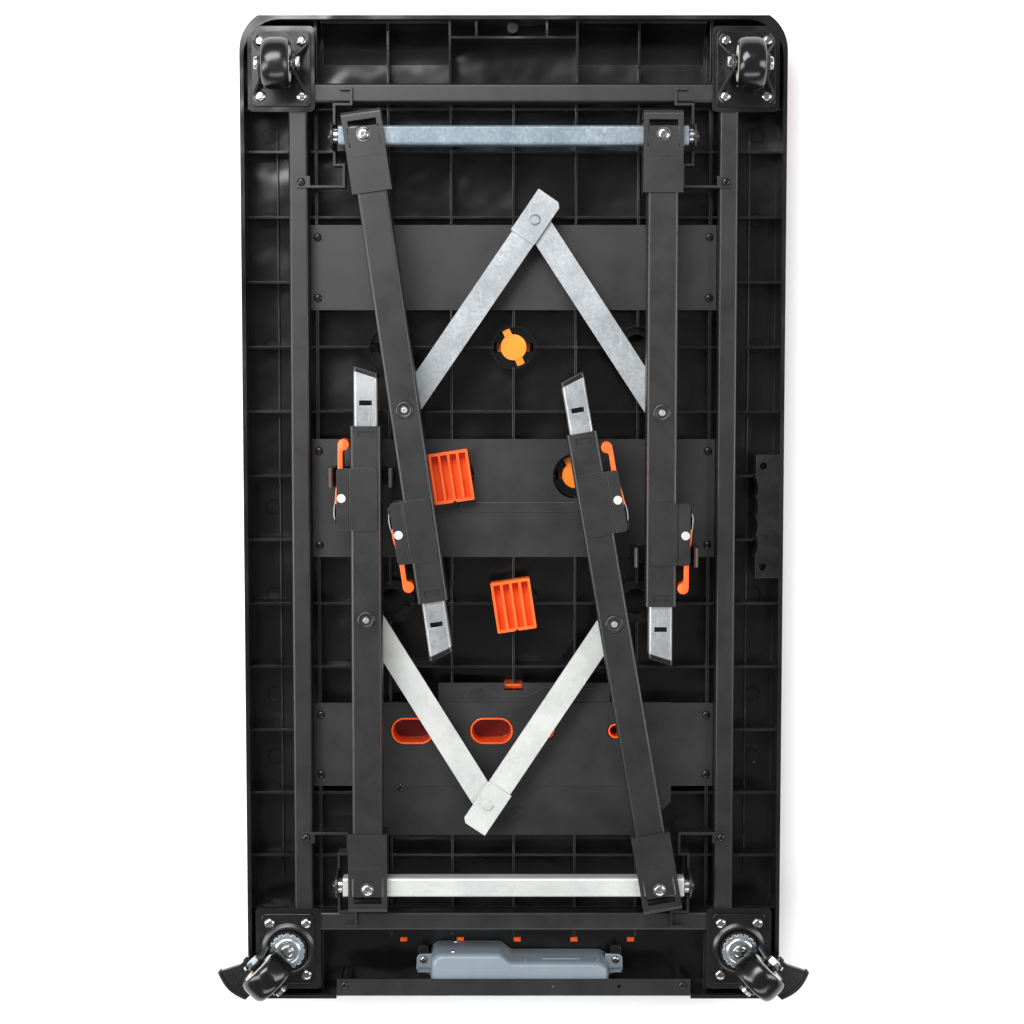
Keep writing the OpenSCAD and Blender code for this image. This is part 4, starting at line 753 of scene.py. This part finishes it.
def makeAxleBolt(c, half):
    r = c["radius"]
    thread = [(r - 0.0004 * (k % 2), half + 0.0029 + 0.00035 * k) for k in range(3)]
    shank = turnedPiece("shank", [(0, -half - 0.002), (r, -half - 0.002), (r, half + 0.0028), *thread,
                                  (r - 0.0006, half + c["end"]), (0, half + c["end"])], "zincScrew", steps=32)
    head = turnedPiece("head", [(a, -half - out) for a, out in c["head"]], "zincScrew", steps=40)
    radius, depth, away = c["nut"]
    nut = makeNut("nut", radius, depth, half + away)
    return joinPieces("boltModel", [shank, head, nut])


# a dark button head outside the bracket, a plain shank, and the spacer ring between bracket and tube
def makeFoldBolt(c):
    r, end, edge = c["radius"], c["length"], c["edge"]
    shank = [(0, 0.0001), (r, 0.0001), (r, 0.0006 - end), (r - 0.0006, -end), (0, -end)]
    bolt = turnedPiece("foldShank", shank, "zincScrew", steps=40)
    dome = [(c["head"] * a, c["height"] * b) for a, b in c["dome"]]
    head = turnedPiece("foldHead", dome, "blackScrew", steps=48)
    low, high = c["ring"][0] - c["x"], c["ring"][1] - c["x"]
    outer, inner = c["ringRadius"], r + 0.00005
    spacer = [(inner, low + edge), (inner + edge, low), (outer - edge, low), (outer, low + edge),
              (outer, high - edge), (outer - edge, high), (inner + edge, high), (inner, high - edge)]
    ring = turnedPiece("spacer", spacer, "zincScrew", steps=48, closed=True)
    return joinPieces("foldBoltModel", [bolt, head, ring])


def makeFasteners():
    c, f = casterPlan, foldBolt
    places = {"caster": [(sx * c["x"] + hx * (c["dx"] if sy > 0 else c["rearDx"]), sy * c["y"] + hy * c["dy"],
                          c["top"] + 0.00002)
                         for sx in (-1, 1) for sy in (-1, 1) for hx in (-1, 1) for hy in (-1, 1)]}
    for kind, (across, along, height) in screwPlaces.items():
        places[kind] = [(x, y, height) for x in across for y in along]
    placed = []
    count = 0
    for kind, spots in places.items():
        model = makeScrew(screwKinds[kind])
        for at in spots:
            placed.append(placedCopy(model, kind + "Screw", Matrix.Translation(at) @ turned(17 + 53 * count)))
            count += 1
        discard(model)
    bolt = makeAxleBolt(axleBolt, c["cheek"])
    fold = makeFoldBolt(f)
    for sx in (-1, 1):
        place = moved(sx * c["x"], c["y"], c["axle"]) @ turned(-90 * sx, "Y")
        placed.append(placedCopy(bolt, "axleBolt", place))
        for y in f["y"]:
            place = moved(sx * f["x"], y, f["z"]) @ turned(90 * sx, "Y")
            placed.append(placedCopy(fold, "foldBolt", place))
    whole = joinPieces("fasteners", placed)
    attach(whole, bodyOfNode["screws"])
    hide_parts("screws")
    discard(bolt)
    discard(fold)


makeFasteners()
print("fasteners made")

# caster mounts: fixed forks whose cheeks flare in plan, and swivel plates with raceway, toothed disc and pin
casterPlate = {
    "width": 0.06, "length": 0.076, "swivelWidth": 0.0555, "swivelLength": 0.0745, "corner": 0.005,
    "low": 0.0585, "high": 0.061}
forkCheek = {
    "mid": 0.01745, "half": 0.00125, "boss": 0.0095, "reach": 0.0275, "end": 0.0345, "flare": 0.0098,
    "flareFrom": 0.007, "tuck": 0.0035, "bow": 2.2, "foot": 0.0632, "sink": 0.0006, "samples": 64}
# cut holds the angles from a notch's middle to its two corners, and the profiles are (radius, height)
swivelTop = {
    "disc": 0.0184, "notch": 0.0168, "teeth": 16, "cut": (3.2, 4.2), "low": 0.0678, "high": 0.0694,
    "turn": 11, "star": 0.0046, "rays": 16, "starZ": (0.07235, 0.07192, 0.0715),
    "raceway": ((0.0202, 0.0608), (0.0204, 0.0626), (0.0212, 0.0636), (0.0226, 0.064), (0.0241, 0.0637),
        (0.0256, 0.0629), (0.0268, 0.0621), (0.0276, 0.0616), (0.028, 0.0608)),
    "ring": ((0.0088, 0.0692), (0.009, 0.0703), (0.01, 0.0711), (0.0114, 0.0713), (0.0128, 0.0708),
        (0.0139, 0.0699), (0.0144, 0.0692)),
    "pin": ((0, 0.061), (0.0059, 0.061), (0.0059, 0.069), (0.007, 0.0692), (0.007, 0.0706),
        (0.0065, 0.0714), (0.0056, 0.0719), (0, 0.0719))}


def makeForkCheek(c):
    rings = []
    axle = casterPlan["axle"]
    low = casterPlate["high"] - c["sink"]
    for k in range(c["samples"] + 1):
        y = c["end"] * (2 * k / c["samples"] - 1)
        away = abs(y)
        if away <= c["boss"]:
            top = axle + math.sqrt(c["boss"] ** 2 - y * y)
        else:
            t = 1 - (min(1.0, (away - c["boss"]) / (c["reach"] - c["boss"]))) ** (1 / c["bow"])
            top = c["foot"] + t * (axle - c["foot"])
        lean = max(0.0, min(1.0, (away - c["flareFrom"]) / (c["reach"] - c["flareFrom"])))
        x = c["mid"] + c["flare"] * lean * lean * (3 - 2 * lean)
        x -= c["tuck"] * (max(0.0, away - c["reach"]) / (c["end"] - c["reach"])) ** 2
        x0, x1 = x - c["half"], x + c["half"]
        rings.append([(x1, y, low), (x1, y, top), (x0, y, top), (x0, y, low)])
    return loftPiece("cheek", rings, "clampSteel", 0.0004)


def makeStar(c):
    count = c["rays"]
    high, low, base = c["starZ"]
    angles = [2 * math.pi * k / count for k in range(count)]
    ring = [(c["star"] * math.cos(a), c["star"] * math.sin(a)) for a in angles]
    points = [(0, 0, high)] + [(x, y, low if k % 2 else high) for k, (x, y) in enumerate(ring)]
    points += [(x, y, base) for x, y in ring]
    faces = [tuple(range(2 * count, count, -1))]
    for k in range(count):
        a, b = 1 + k, 1 + (k + 1) % count
        faces += [(0, a, b), (a, a + count, b + count, b)]
    star = meshPiece("star", points, [], faces)
    star.data.materials.append(finishMaterial("zincScrew"))
    return star


def plainPlate(p, width, length):
    outline = roundedOutline(width, length, p["corner"])
    return outlinePiece("plate", outline, p["low"], p["high"], "wheelBlack", 0.0007, 3)


def makeCasterMounts():
    p, c, t = casterPlate, casterPlan, swivelTop
    plate = plainPlate(p, p["width"], p["length"])
    swivelPlate = plainPlate(p, p["swivelWidth"], p["swivelLength"])
    cheek = makeForkCheek(forkCheek)
    mirrored = placedCopy(cheek, "cheek", Matrix.Diagonal((-1, 1, 1, 1)))
    lip = turnedPiece("raceway", t["raceway"], "nylonBlack", closed=True)
    outline = []
    step = 360 / t["teeth"]
    (near, far), notch, edge = t["cut"], t["notch"], t["disc"]
    tooth = ((-far, edge), (-near, notch), (near, notch), (far, edge), (step / 2, edge))
    for k in range(t["teeth"]):
        for away, radius in tooth:
            a = math.radians(k * step + away)
            outline.append((radius * math.cos(a), radius * math.sin(a)))
    disc = outlinePiece("toothedDisc", outline, t["low"], t["high"], "zincDisc", 0.0003)
    ring = turnedPiece("discRing", t["ring"], "zincDisc", closed=True)
    pin = turnedPiece("pin", t["pin"], "zincScrew", steps=48)
    star = makeStar(t)
    placed = []
    for sx in (-1, 1):
        front, rear = moved(sx * c["x"], c["y"], 0), moved(sx * c["x"], -c["y"], 0)
        for piece in (plate, cheek, mirrored):
            placed.append(placedCopy(piece, "forkPart", front))
        for piece in (swivelPlate, lip, disc, ring, pin, star):
            turn = turned(0 if piece is swivelPlate else sx * t["turn"])
            placed.append(placedCopy(piece, "swivelPart", rear @ turn))
    whole = joinPieces("caster_mounts_pressed", placed)
    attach(whole, bodyOfNode["caster_mounts"])
    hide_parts("caster_mounts")
    for piece in (plate, swivelPlate, cheek, mirrored, lip, disc, ring, pin, star):
        discard(piece)


makeCasterMounts()

# thick lip at the end of each brake pedal's fan
pedalLip = {
    "reach": 0.067, "bow": 0.005, "from": -0.006, "span": 0.041, "depth": 0.0042, "low": 0.0652,
    "high": 0.0749, "steps": 10}


def makePedalLips(c):
    parts = [k / c["steps"] for k in range(c["steps"] + 1)]
    outer = [(c["from"] + c["span"] * t, -c["reach"] - c["bow"] * math.sin(math.pi * t)) for t in parts]
    inner = [(x, y + c["depth"]) for x, y in reversed(outer)]
    lip = outlinePiece("lip", outer + inner, c["low"], c["high"], "rubberBlack", 0.0014, 3)
    for side, sx in (("left", -1), ("right", 1)):
        piece = placedCopy(lip, "pedal_lip_" + side, casterFrame(sx))
        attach(piece, bodyOfNode["brake_pedal_" + side])
    discard(lip)


makePedalLips(pedalLip)

# dished washer and screw of each link, on top of its leg
linkScrew = {
    "washer": ((0, 0.00045), (0.0091, 0.00045), (0.0091, 0.0008), (0.0086, 0.0013), (0.0076, 0.0017),
        (0.0064, 0.0016), (0.0054, 0.0012), (0.0047, 0.0012), (0.0042, 0.002), (0.0036, 0.0022),
        (0, 0.0022)),
    "head": ((0, 0.0021), (0.0032, 0.0021), (0.0033, 0.0029), (0.0028, 0.0036), (0.0018, 0.0038),
        (0.0014, 0.0028), (0, 0.0027))}


def makeLinkScrews(c):
    washer = turnedPiece("washer", c["washer"], "paintedSteel", steps=56)
    head = turnedPiece("head", c["head"], "zinc", steps=32)
    model = joinPieces("linkScrew", [washer, head])
    for tag in legTags:
        at = legPlaces[tag] @ Vector((0, legPlan["screw"], legPlan["top"]))
        piece = placedCopy(model, "link_screw_%s_%s" % tag, Matrix.Translation(at))
        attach(piece, bodyOfNode["leg_tube_%s_%s" % tag])
    discard(model)


makeLinkScrews(linkScrew)

# power box: rounded plan with an S step in its back wall, seams, plugs, screws, ears with webs, and outlets.
# levels are (inset, height), an outlet's cuts (offset, radius, depth, sides), an ear's points run outwards
powerBox = {
    "x": (-0.088, 0.101), "front": -0.504, "back": (-0.4634, -0.4724), "step": (-0.016, -0.001),
    "corner": 0.012,
    "levels": ((-0.0012, 0.006), (0, 0.018), (0.0004, 0.046), (0.0008, 0.0496), (0.0016, 0.0522),
        (0.0031, 0.0541), (0.0052, 0.055)),
    "outlets": (-0.0515, 0.0065, 0.0645), "outletZ": 0.03,
    "cuts": ((0, 0.019, 0.01, 48), (-0.0095, 0.0026, 0.028, 20), (0.0095, 0.0026, 0.028, 20)),
    "ears": (-0.096, 0.109), "earY": -0.4782, "earEdge": (0.003, 0.0062, -0.018), "earZ": (0.02, 0.023),
    "ear": ((0.0045, 0.0052), (0.0072, 0.0024), (0.0078, -0.0112)), "webs": (0.007, 0.0122), "web": 0.0066,
    "webZ": (0.0225, 0.0262), "seams": (-0.4892, -0.4935), "seamEnd": 0.006, "seamWide": 0.0009,
    "seamZ": (0.0546, 0.0553), "plate": (0.0405, 0.03, 0.0014), "plateAt": (0.0505, 0.0255),
    "plug": ((0, 0.0004), (0.001, 0.0007), (0.0018, 0.0006), (0.0021, 0), (0, -0.0006)),
    "plugs": ((0.0128, 0.0085), (0.0128, 0.0445), (0.0895, 0.0085), (0.0895, 0.0445)),
    "screw": ((0, 0.0009), (0.0012, 0.0012), (0.002, 0.0009), (0.0023, 0), (0, -0.0004)),
    "screws": ((-0.0625, 0.0105, 0.0007), (-0.064, 0.0445, -0.0002))}


def powerOutline(c, inset):
    x0, x1 = c["x"][0] + inset, c["x"][1] - inset
    r = c["corner"]
    left, right = c["back"][0] - inset, c["back"][1] - inset
    points = [(x0, c["front"])] + arcPoints(x0 + r, left - r, r, 180, -90, 6)
    start, end = c["step"]
    for k in range(9):
        t = k / 8
        points.append((start + (end - start) * t, left + (right - left) * t * t * (3 - 2 * t)))
    return points + arcPoints(x1 - r, right - r, r, 90, -90, 6) + [(x1, c["front"])]


# a place on the back wall, looking out of it
def onBack(x, y, z):
    return moved(x, y, z) @ turned(-90, "X")


def makePowerBox(c):
    rings = [[(x, y, z) for x, y in powerOutline(c, inset)] for inset, z in c["levels"]]
    box = loftPiece("powerBody", rings, "powerGrey", 0.0005)
    for x in c["outlets"]:
        for dx, radius, depth, sides in c["cuts"]:
            cutWith(box, addCylinder(sides, radius, depth, (x + dx, c["front"], c["outletZ"]), 90))
    smoothFaces(box)
    parts = [box]
    root, front, rear = c["earEdge"]
    y = c["earY"]
    for sign, side, x in zip((-1, 1), c["x"], c["ears"]):
        edge = side - sign * root
        ear = [(edge, y + front), *((x + sign * out, y + dy) for out, dy in c["ear"]), (edge, y + rear)]
        parts.append(outlinePiece("ear", ear, *c["earZ"], "powerGrey", 0.0006, 3))
        tip = x + sign * c["web"]
        for away in c["webs"]:
            web = [(edge, y - away - 0.0014), (tip, y - away - 0.0008), (tip, y - away), (edge, y - away)]
            parts.append(outlinePiece("earWeb", web, *c["webZ"], "powerGrey", 0.0004))
    x0, x1 = c["x"][0] + c["seamEnd"], c["x"][1] - c["seamEnd"]
    for y in c["seams"]:
        seam = [(x0, y), (x1, y), (x1, y - c["seamWide"]), (x0, y - c["seamWide"])]
        parts.append(outlinePiece("seam", seam, *c["seamZ"], "powerGrey", 0.0002))
    left, right = c["back"]
    plate = outlinePiece("barePlate", roundedOutline(*c["plate"]), -0.0006, 0.0004, "powerGrey", 0.0003)
    plate.data.transform(onBack(c["plateAt"][0], right, c["plateAt"][1]))
    parts.append(plate)
    plugs = [(x, right, z) for x, z in c["plugs"]]
    screws = [(x, left + out, z) for x, z, out in c["screws"]]
    for name, profile, finish, places in (("plug", c["plug"], "powerGrey", plugs),
                                          ("boxScrew", c["screw"], "zincScrew", screws)):
        model = turnedPiece(name, profile, finish, steps=20)
        for at in places:
            parts.append(placedCopy(model, name, onBack(*at)))
        discard(model)
    whole = joinPieces("power_box_moulded", parts)
    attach(whole, bodyOfNode["power_box"])
    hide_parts("power_box")


makePowerBox(powerBox)
print("casters, screws and power box made")

# relief of the moulded top: end cove, ribs to the front wall, channel steps and ejector marks
topRelief = {
    "coveX": ((-0.198, -0.0665), (0.0665, 0.198)), "coveTop": (0.5045, 0.041), "coveLow": (0.4665, 0.0036),
    "coveWall": 0.0016, "coveSteps": 14, "frontRibs": (-0.129, 0.129), "ribThick": 0.0022,
    "rib": ((0.4615, 0.0034), (0.5045, 0.0034), (0.5045, 0.0465), (0.4965, 0.0372), (0.4615, 0.036)),
    "marks": (0.394, 0.306, 0.175, 0.005, -0.088, -0.195, -0.262), "markX": 0.2545, "markZ": 0.0035,
    "mark": ((0, 0.00025), (0.0066, 0.00025), (0.0071, 0.0006), (0.0078, 0.0006), (0.0083, 0), (0, -0.0002)),
    "stepX": 0.2465, "stepHalf": 0.0008, "stepZ": (0.0034, 0.0068),
    "steps": ((-0.392, -0.1), (-0.095, 0.1), (0.105, 0.398))}


def makeTopRelief(c):
    (yTop, zTop), (yLow, zLow) = c["coveTop"], c["coveLow"]
    parts = []
    for x0, x1 in c["coveX"]:
        rings = []
        for k in range(c["coveSteps"] + 1):
            a = math.pi / 2 * k / c["coveSteps"]
            y = yLow + (yTop - yLow) * math.sin(a)
            z = zLow + (zTop - zLow) * (1 - math.cos(a))
            out = Vector((0, -math.sin(a) * (zTop - zLow), math.cos(a) * (yTop - yLow)))
            out = out.normalized() * c["coveWall"]
            back = (y - out.y - 0.0001, z - out.z)
            rings.append([(x0, y, z), (x1, y, z), (x1, *back), (x0, *back)])
        parts.append(loftPiece("cove", rings, "mouldedBlack", 0.0003))
    half = c["ribThick"] / 2
    for x in c["frontRibs"]:
        rib = outlinePiece("frontRib", c["rib"], -half, half, "mouldedBlack", 0.0003)
        rib.data.transform(Matrix(((0, 0, 1, x), (1, 0, 0, 0), (0, 1, 0, 0), (0, 0, 0, 1))))
        parts.append(rib)
    mark = turnedPiece("mark", c["mark"], "mouldedBlack", steps=40)
    for sx in (-1, 1):
        for y in c["marks"]:
            parts.append(placedCopy(mark, "mark", moved(sx * c["markX"], y, c["markZ"])))
        for y0, y1 in c["steps"]:
            x0, x1 = sx * c["stepX"] - c["stepHalf"], sx * c["stepX"] + c["stepHalf"]
            step = [(x0, y0), (x1, y0), (x1, y1), (x0, y1)]
            parts.append(outlinePiece("step", step, *c["stepZ"], "mouldedBlack", 0.0005))
    discard(mark)
    whole = joinPieces("top_relief", parts)
    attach(whole, bodyOfNode["top_deck"])


makeTopRelief(topRelief)

# relief of the tray and the middle panel: a raised line round the slot, boss rings, a pressed band, a screw.
# a boss is (x, y, radius), its ring (part of the radius, height), an outline (width, length, corner, place)
trayRelief = {
    "top": 0.036, "wide": 0.0011, "screw": (-0.119, -0.289),
    "line": ((-0.074, -0.1835), (-0.032, -0.1835), (-0.024, -0.1885), (-0.014, -0.1925), (0.014, -0.1925),
        (0.024, -0.1885), (0.032, -0.1835), (0.088, -0.1835), (0.097, -0.19)),
    "bosses": ((-0.0385, -0.1905, 0.0072), (0.005, -0.318, 0.0082)),
    "ring": ((0, 0.0002), (0.3, 0.0002), (0.36, 0.0006), (0.5, 0.0006), (0.56, 0.0002)), "rim": 0.0009,
    "band": (0.128, 0.0105, 0.005, (0.006, 0.0075)), "bandZ": (0.037, 0.0386),
    # the outline and heights of a dark patch painted on the panel as the shade of a small hole
    "paintedHoleShade": (0.0034, 0.0034, 0.00165, (0.1655, 0.046)), "paintedHoleShadeZ": (0.037, 0.03724)}


def makeTrayRelief(c):
    parts = []
    points = [Vector(p) for p in c["line"]]
    sides = ([], [])
    for k, at in enumerate(points):
        way = (points[min(k + 1, len(points) - 1)] - points[max(k - 1, 0)]).normalized()
        across = Vector((-way.y, way.x)) * c["wide"] / 2
        sides[0].append(tuple(at + across))
        sides[1].append(tuple(at - across))
    low, high = c["top"] - 0.0002, c["top"] + 0.0005
    parts.append(outlinePiece("trayLine", sides[0] + sides[1][::-1], low, high, "mouldedSmooth", 0.0003))
    for x, y, r in c["bosses"]:
        profile = [(r * a, z) for a, z in c["ring"]]
        profile += [(r - c["rim"], 0.0002), (r - 0.0005, 0.0005), (r, 0), (0, -0.0002)]
        ring = turnedPiece("boss", profile, "mouldedSmooth", steps=48)
        parts.append(placedCopy(ring, "boss", moved(x, y, c["top"])))
        discard(ring)
    screw = makeScrew(screwKinds["panel"])
    parts.append(placedCopy(screw, "trayScrew", moved(*c["screw"], c["top"])))
    discard(screw)
    whole = joinPieces("tray_relief", parts)
    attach(whole, bodyOfNode["cup_tray"])
    # the band's wide rounded edges take the lighter edge colour, a painted highlight along the band
    band = outlinePiece("pressedBand", roundedOutline(*c["band"]), *c["bandZ"], "paintedSheet", 0.0014, 5)
    # a flat dark patch on the panel, painted shade where a small hole would be; nothing is cut
    paintedHoleShade = outlinePiece("panelHolePaintedShade", roundedOutline(*c["paintedHoleShade"]), *c["paintedHoleShadeZ"], "blackScrew", 0.0001, 1)
    panelMarks = joinPieces("panel_relief", [band, paintedHoleShade])
    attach(panelMarks, bodyOfNode["panels"])


makeTrayRelief(trayRelief)
print("relief made")

# cam levers: a straight blade runs out from under the clamp to a round knob. The plans are in millimetres
camLever = {
    "outer": ((30.8, 397.5), (31.2, 401), (31.1, 406), (30.4, 412), (29.4, 418), (28.6, 425), (28.2, 436),
        (28.2, 450)),
    "inner": ((23.5, 449.8), (23.4, 436), (23.0, 425), (21.4, 415), (18.8, 409), (17.9, 404), (18.2, 399),
        (20.4, 395.6), (24.5, 394.2), (28.4, 395)),
    "knob": (22.5, 457.4, 5.7), "arc": (-8, 268), "steps": 18, "low": 0.0699, "high": 0.0991,
    "rim": (0.0078, 0.0078, 0.0038)}
springStrip = {
    "plan": ((30.4, 400.6), (31.3, 396), (31.8, 390), (31.7, 385), (30.9, 381)), "thick": 0.0009,
    "low": 0.0704, "high": 0.0986}


def metres(points):
    return [(x / 1000, y / 1000) for x, y in points]


def makeLevers(c, s):
    u, v, r = c["knob"]
    first, last = c["arc"]
    knob = arcPoints(u, v, r, first, last - first, c["steps"])
    plan = metres((*c["outer"], *knob, *c["inner"]))
    model = outlinePiece("leverModel", plan, c["low"], c["high"], "orange", 0.0007, 3)
    cushion = outlinePiece("leverRim", roundedOutline(*c["rim"], (u / 1000, v / 1000)), c["high"] - 0.0003,
                           c["high"] + 0.0003, "orange", 0.0002)
    near = metres(s["plan"])
    far = [(x + s["thick"], y) for x, y in reversed(near)]
    strip = outlinePiece("strip", near + far, s["low"], s["high"], "zinc", 0.0002)
    for tag in legTags:
        name = "lever_%s_%s" % tag
        parts = [placedCopy(piece, "leverPart", legPlaces[tag]) for piece in (model, cushion)]
        whole = joinPieces(name + "_blade", parts)
        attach(whole, bodyOfNode[name])
        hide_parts(name)
        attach(placedCopy(strip, "spring_%s_%s" % tag, legPlaces[tag]), bodyOfNode["leg_clamp_%s_%s" % tag])
    for piece in (model, cushion, strip):
        discard(piece)


makeLevers(camLever, springStrip)
print("levers made")

# the pale floor that the table lies on, and soft studio light
stage = {
    "floor": 8.0, "floorShade": 0.9, "paintedShadowTone": 0.02, "paintedShadowReach": (0.262, 0.494), "world": 0.2,
    "panels": ({"place": (-0.75, 1.4, 2.35), "aim": (0, 0.2, 0), "size": (1.9, 1.15), "watts": 92},
        {"place": (-2.1, -0.2, 1.6), "aim": (0, 0, 0), "size": (0.9, 2.6), "watts": 62},
        {"place": (2.1, 0.1, 1.6), "aim": (0, 0, 0), "size": (0.9, 2.6), "watts": 50},
        {"place": (0.2, -2.4, 1.9), "aim": (0, -0.1, 0), "size": (2.6, 0.8), "watts": 30})}


def makeStage(settings):
    bpy.ops.mesh.primitive_plane_add(size=settings["floor"], location=(0, 0, -0.0006))
    floor = bpy.context.object
    floor.name = "floor"
    bpy.ops.object.transform_apply(location=True, rotation=True, scale=True)
    material = bpy.data.materials.new("paleFloor")
    material.use_nodes = True
    tree = material.node_tree
    shader = tree.nodes["Principled BSDF"]
    # under the table the floor is painted dark, a painted shadow seen only through the socket bores
    parts = addNode(tree, "ShaderNodeSeparateXYZ")
    tree.links.new(addNode(tree, "ShaderNodeTexCoord").outputs["Object"], parts.inputs["Vector"])
    within = [mathNode(tree, "LESS_THAN", mathNode(tree, "ABSOLUTE", parts.outputs[axis]), reach)
              for axis, reach in zip("XY", settings["paintedShadowReach"])]
    under = mathNode(tree, "MULTIPLY", *within)
    colour = mixColour(tree, under, (settings["floorShade"],) * 3, (settings["paintedShadowTone"],) * 3)
    tree.links.new(colour, shader.inputs["Base Color"])
    shader.inputs["Roughness"].default_value = 0.9
    shader.inputs["Specular IOR Level"].default_value = 0.1
    floor.data.materials.append(material)
    world = bpy.data.worlds.new("studioWorld")
    world.use_nodes = True
    background = world.node_tree.nodes["Background"]
    background.inputs["Color"].default_value = (1, 1, 1, 1)
    background.inputs["Strength"].default_value = settings["world"]
    scene.world = world
    for k, panel in enumerate(settings["panels"]):
        data = bpy.data.lights.new("softPanel%d" % k, "AREA")
        data.shape = "RECTANGLE"
        data.size, data.size_y = panel["size"]
        data.energy = panel["watts"]
        light = bpy.data.objects.new("softPanel%d" % k, data)
        scene.collection.objects.link(light)
        light.location = panel["place"]
        aim = Vector(panel["aim"]) - Vector(panel["place"])
        light.rotation_mode = "QUATERNION"
        light.rotation_quaternion = aim.to_track_quat("-Z", "Y")
    scene.view_settings.view_transform = "Standard"


makeStage(stage)
print("stage made")
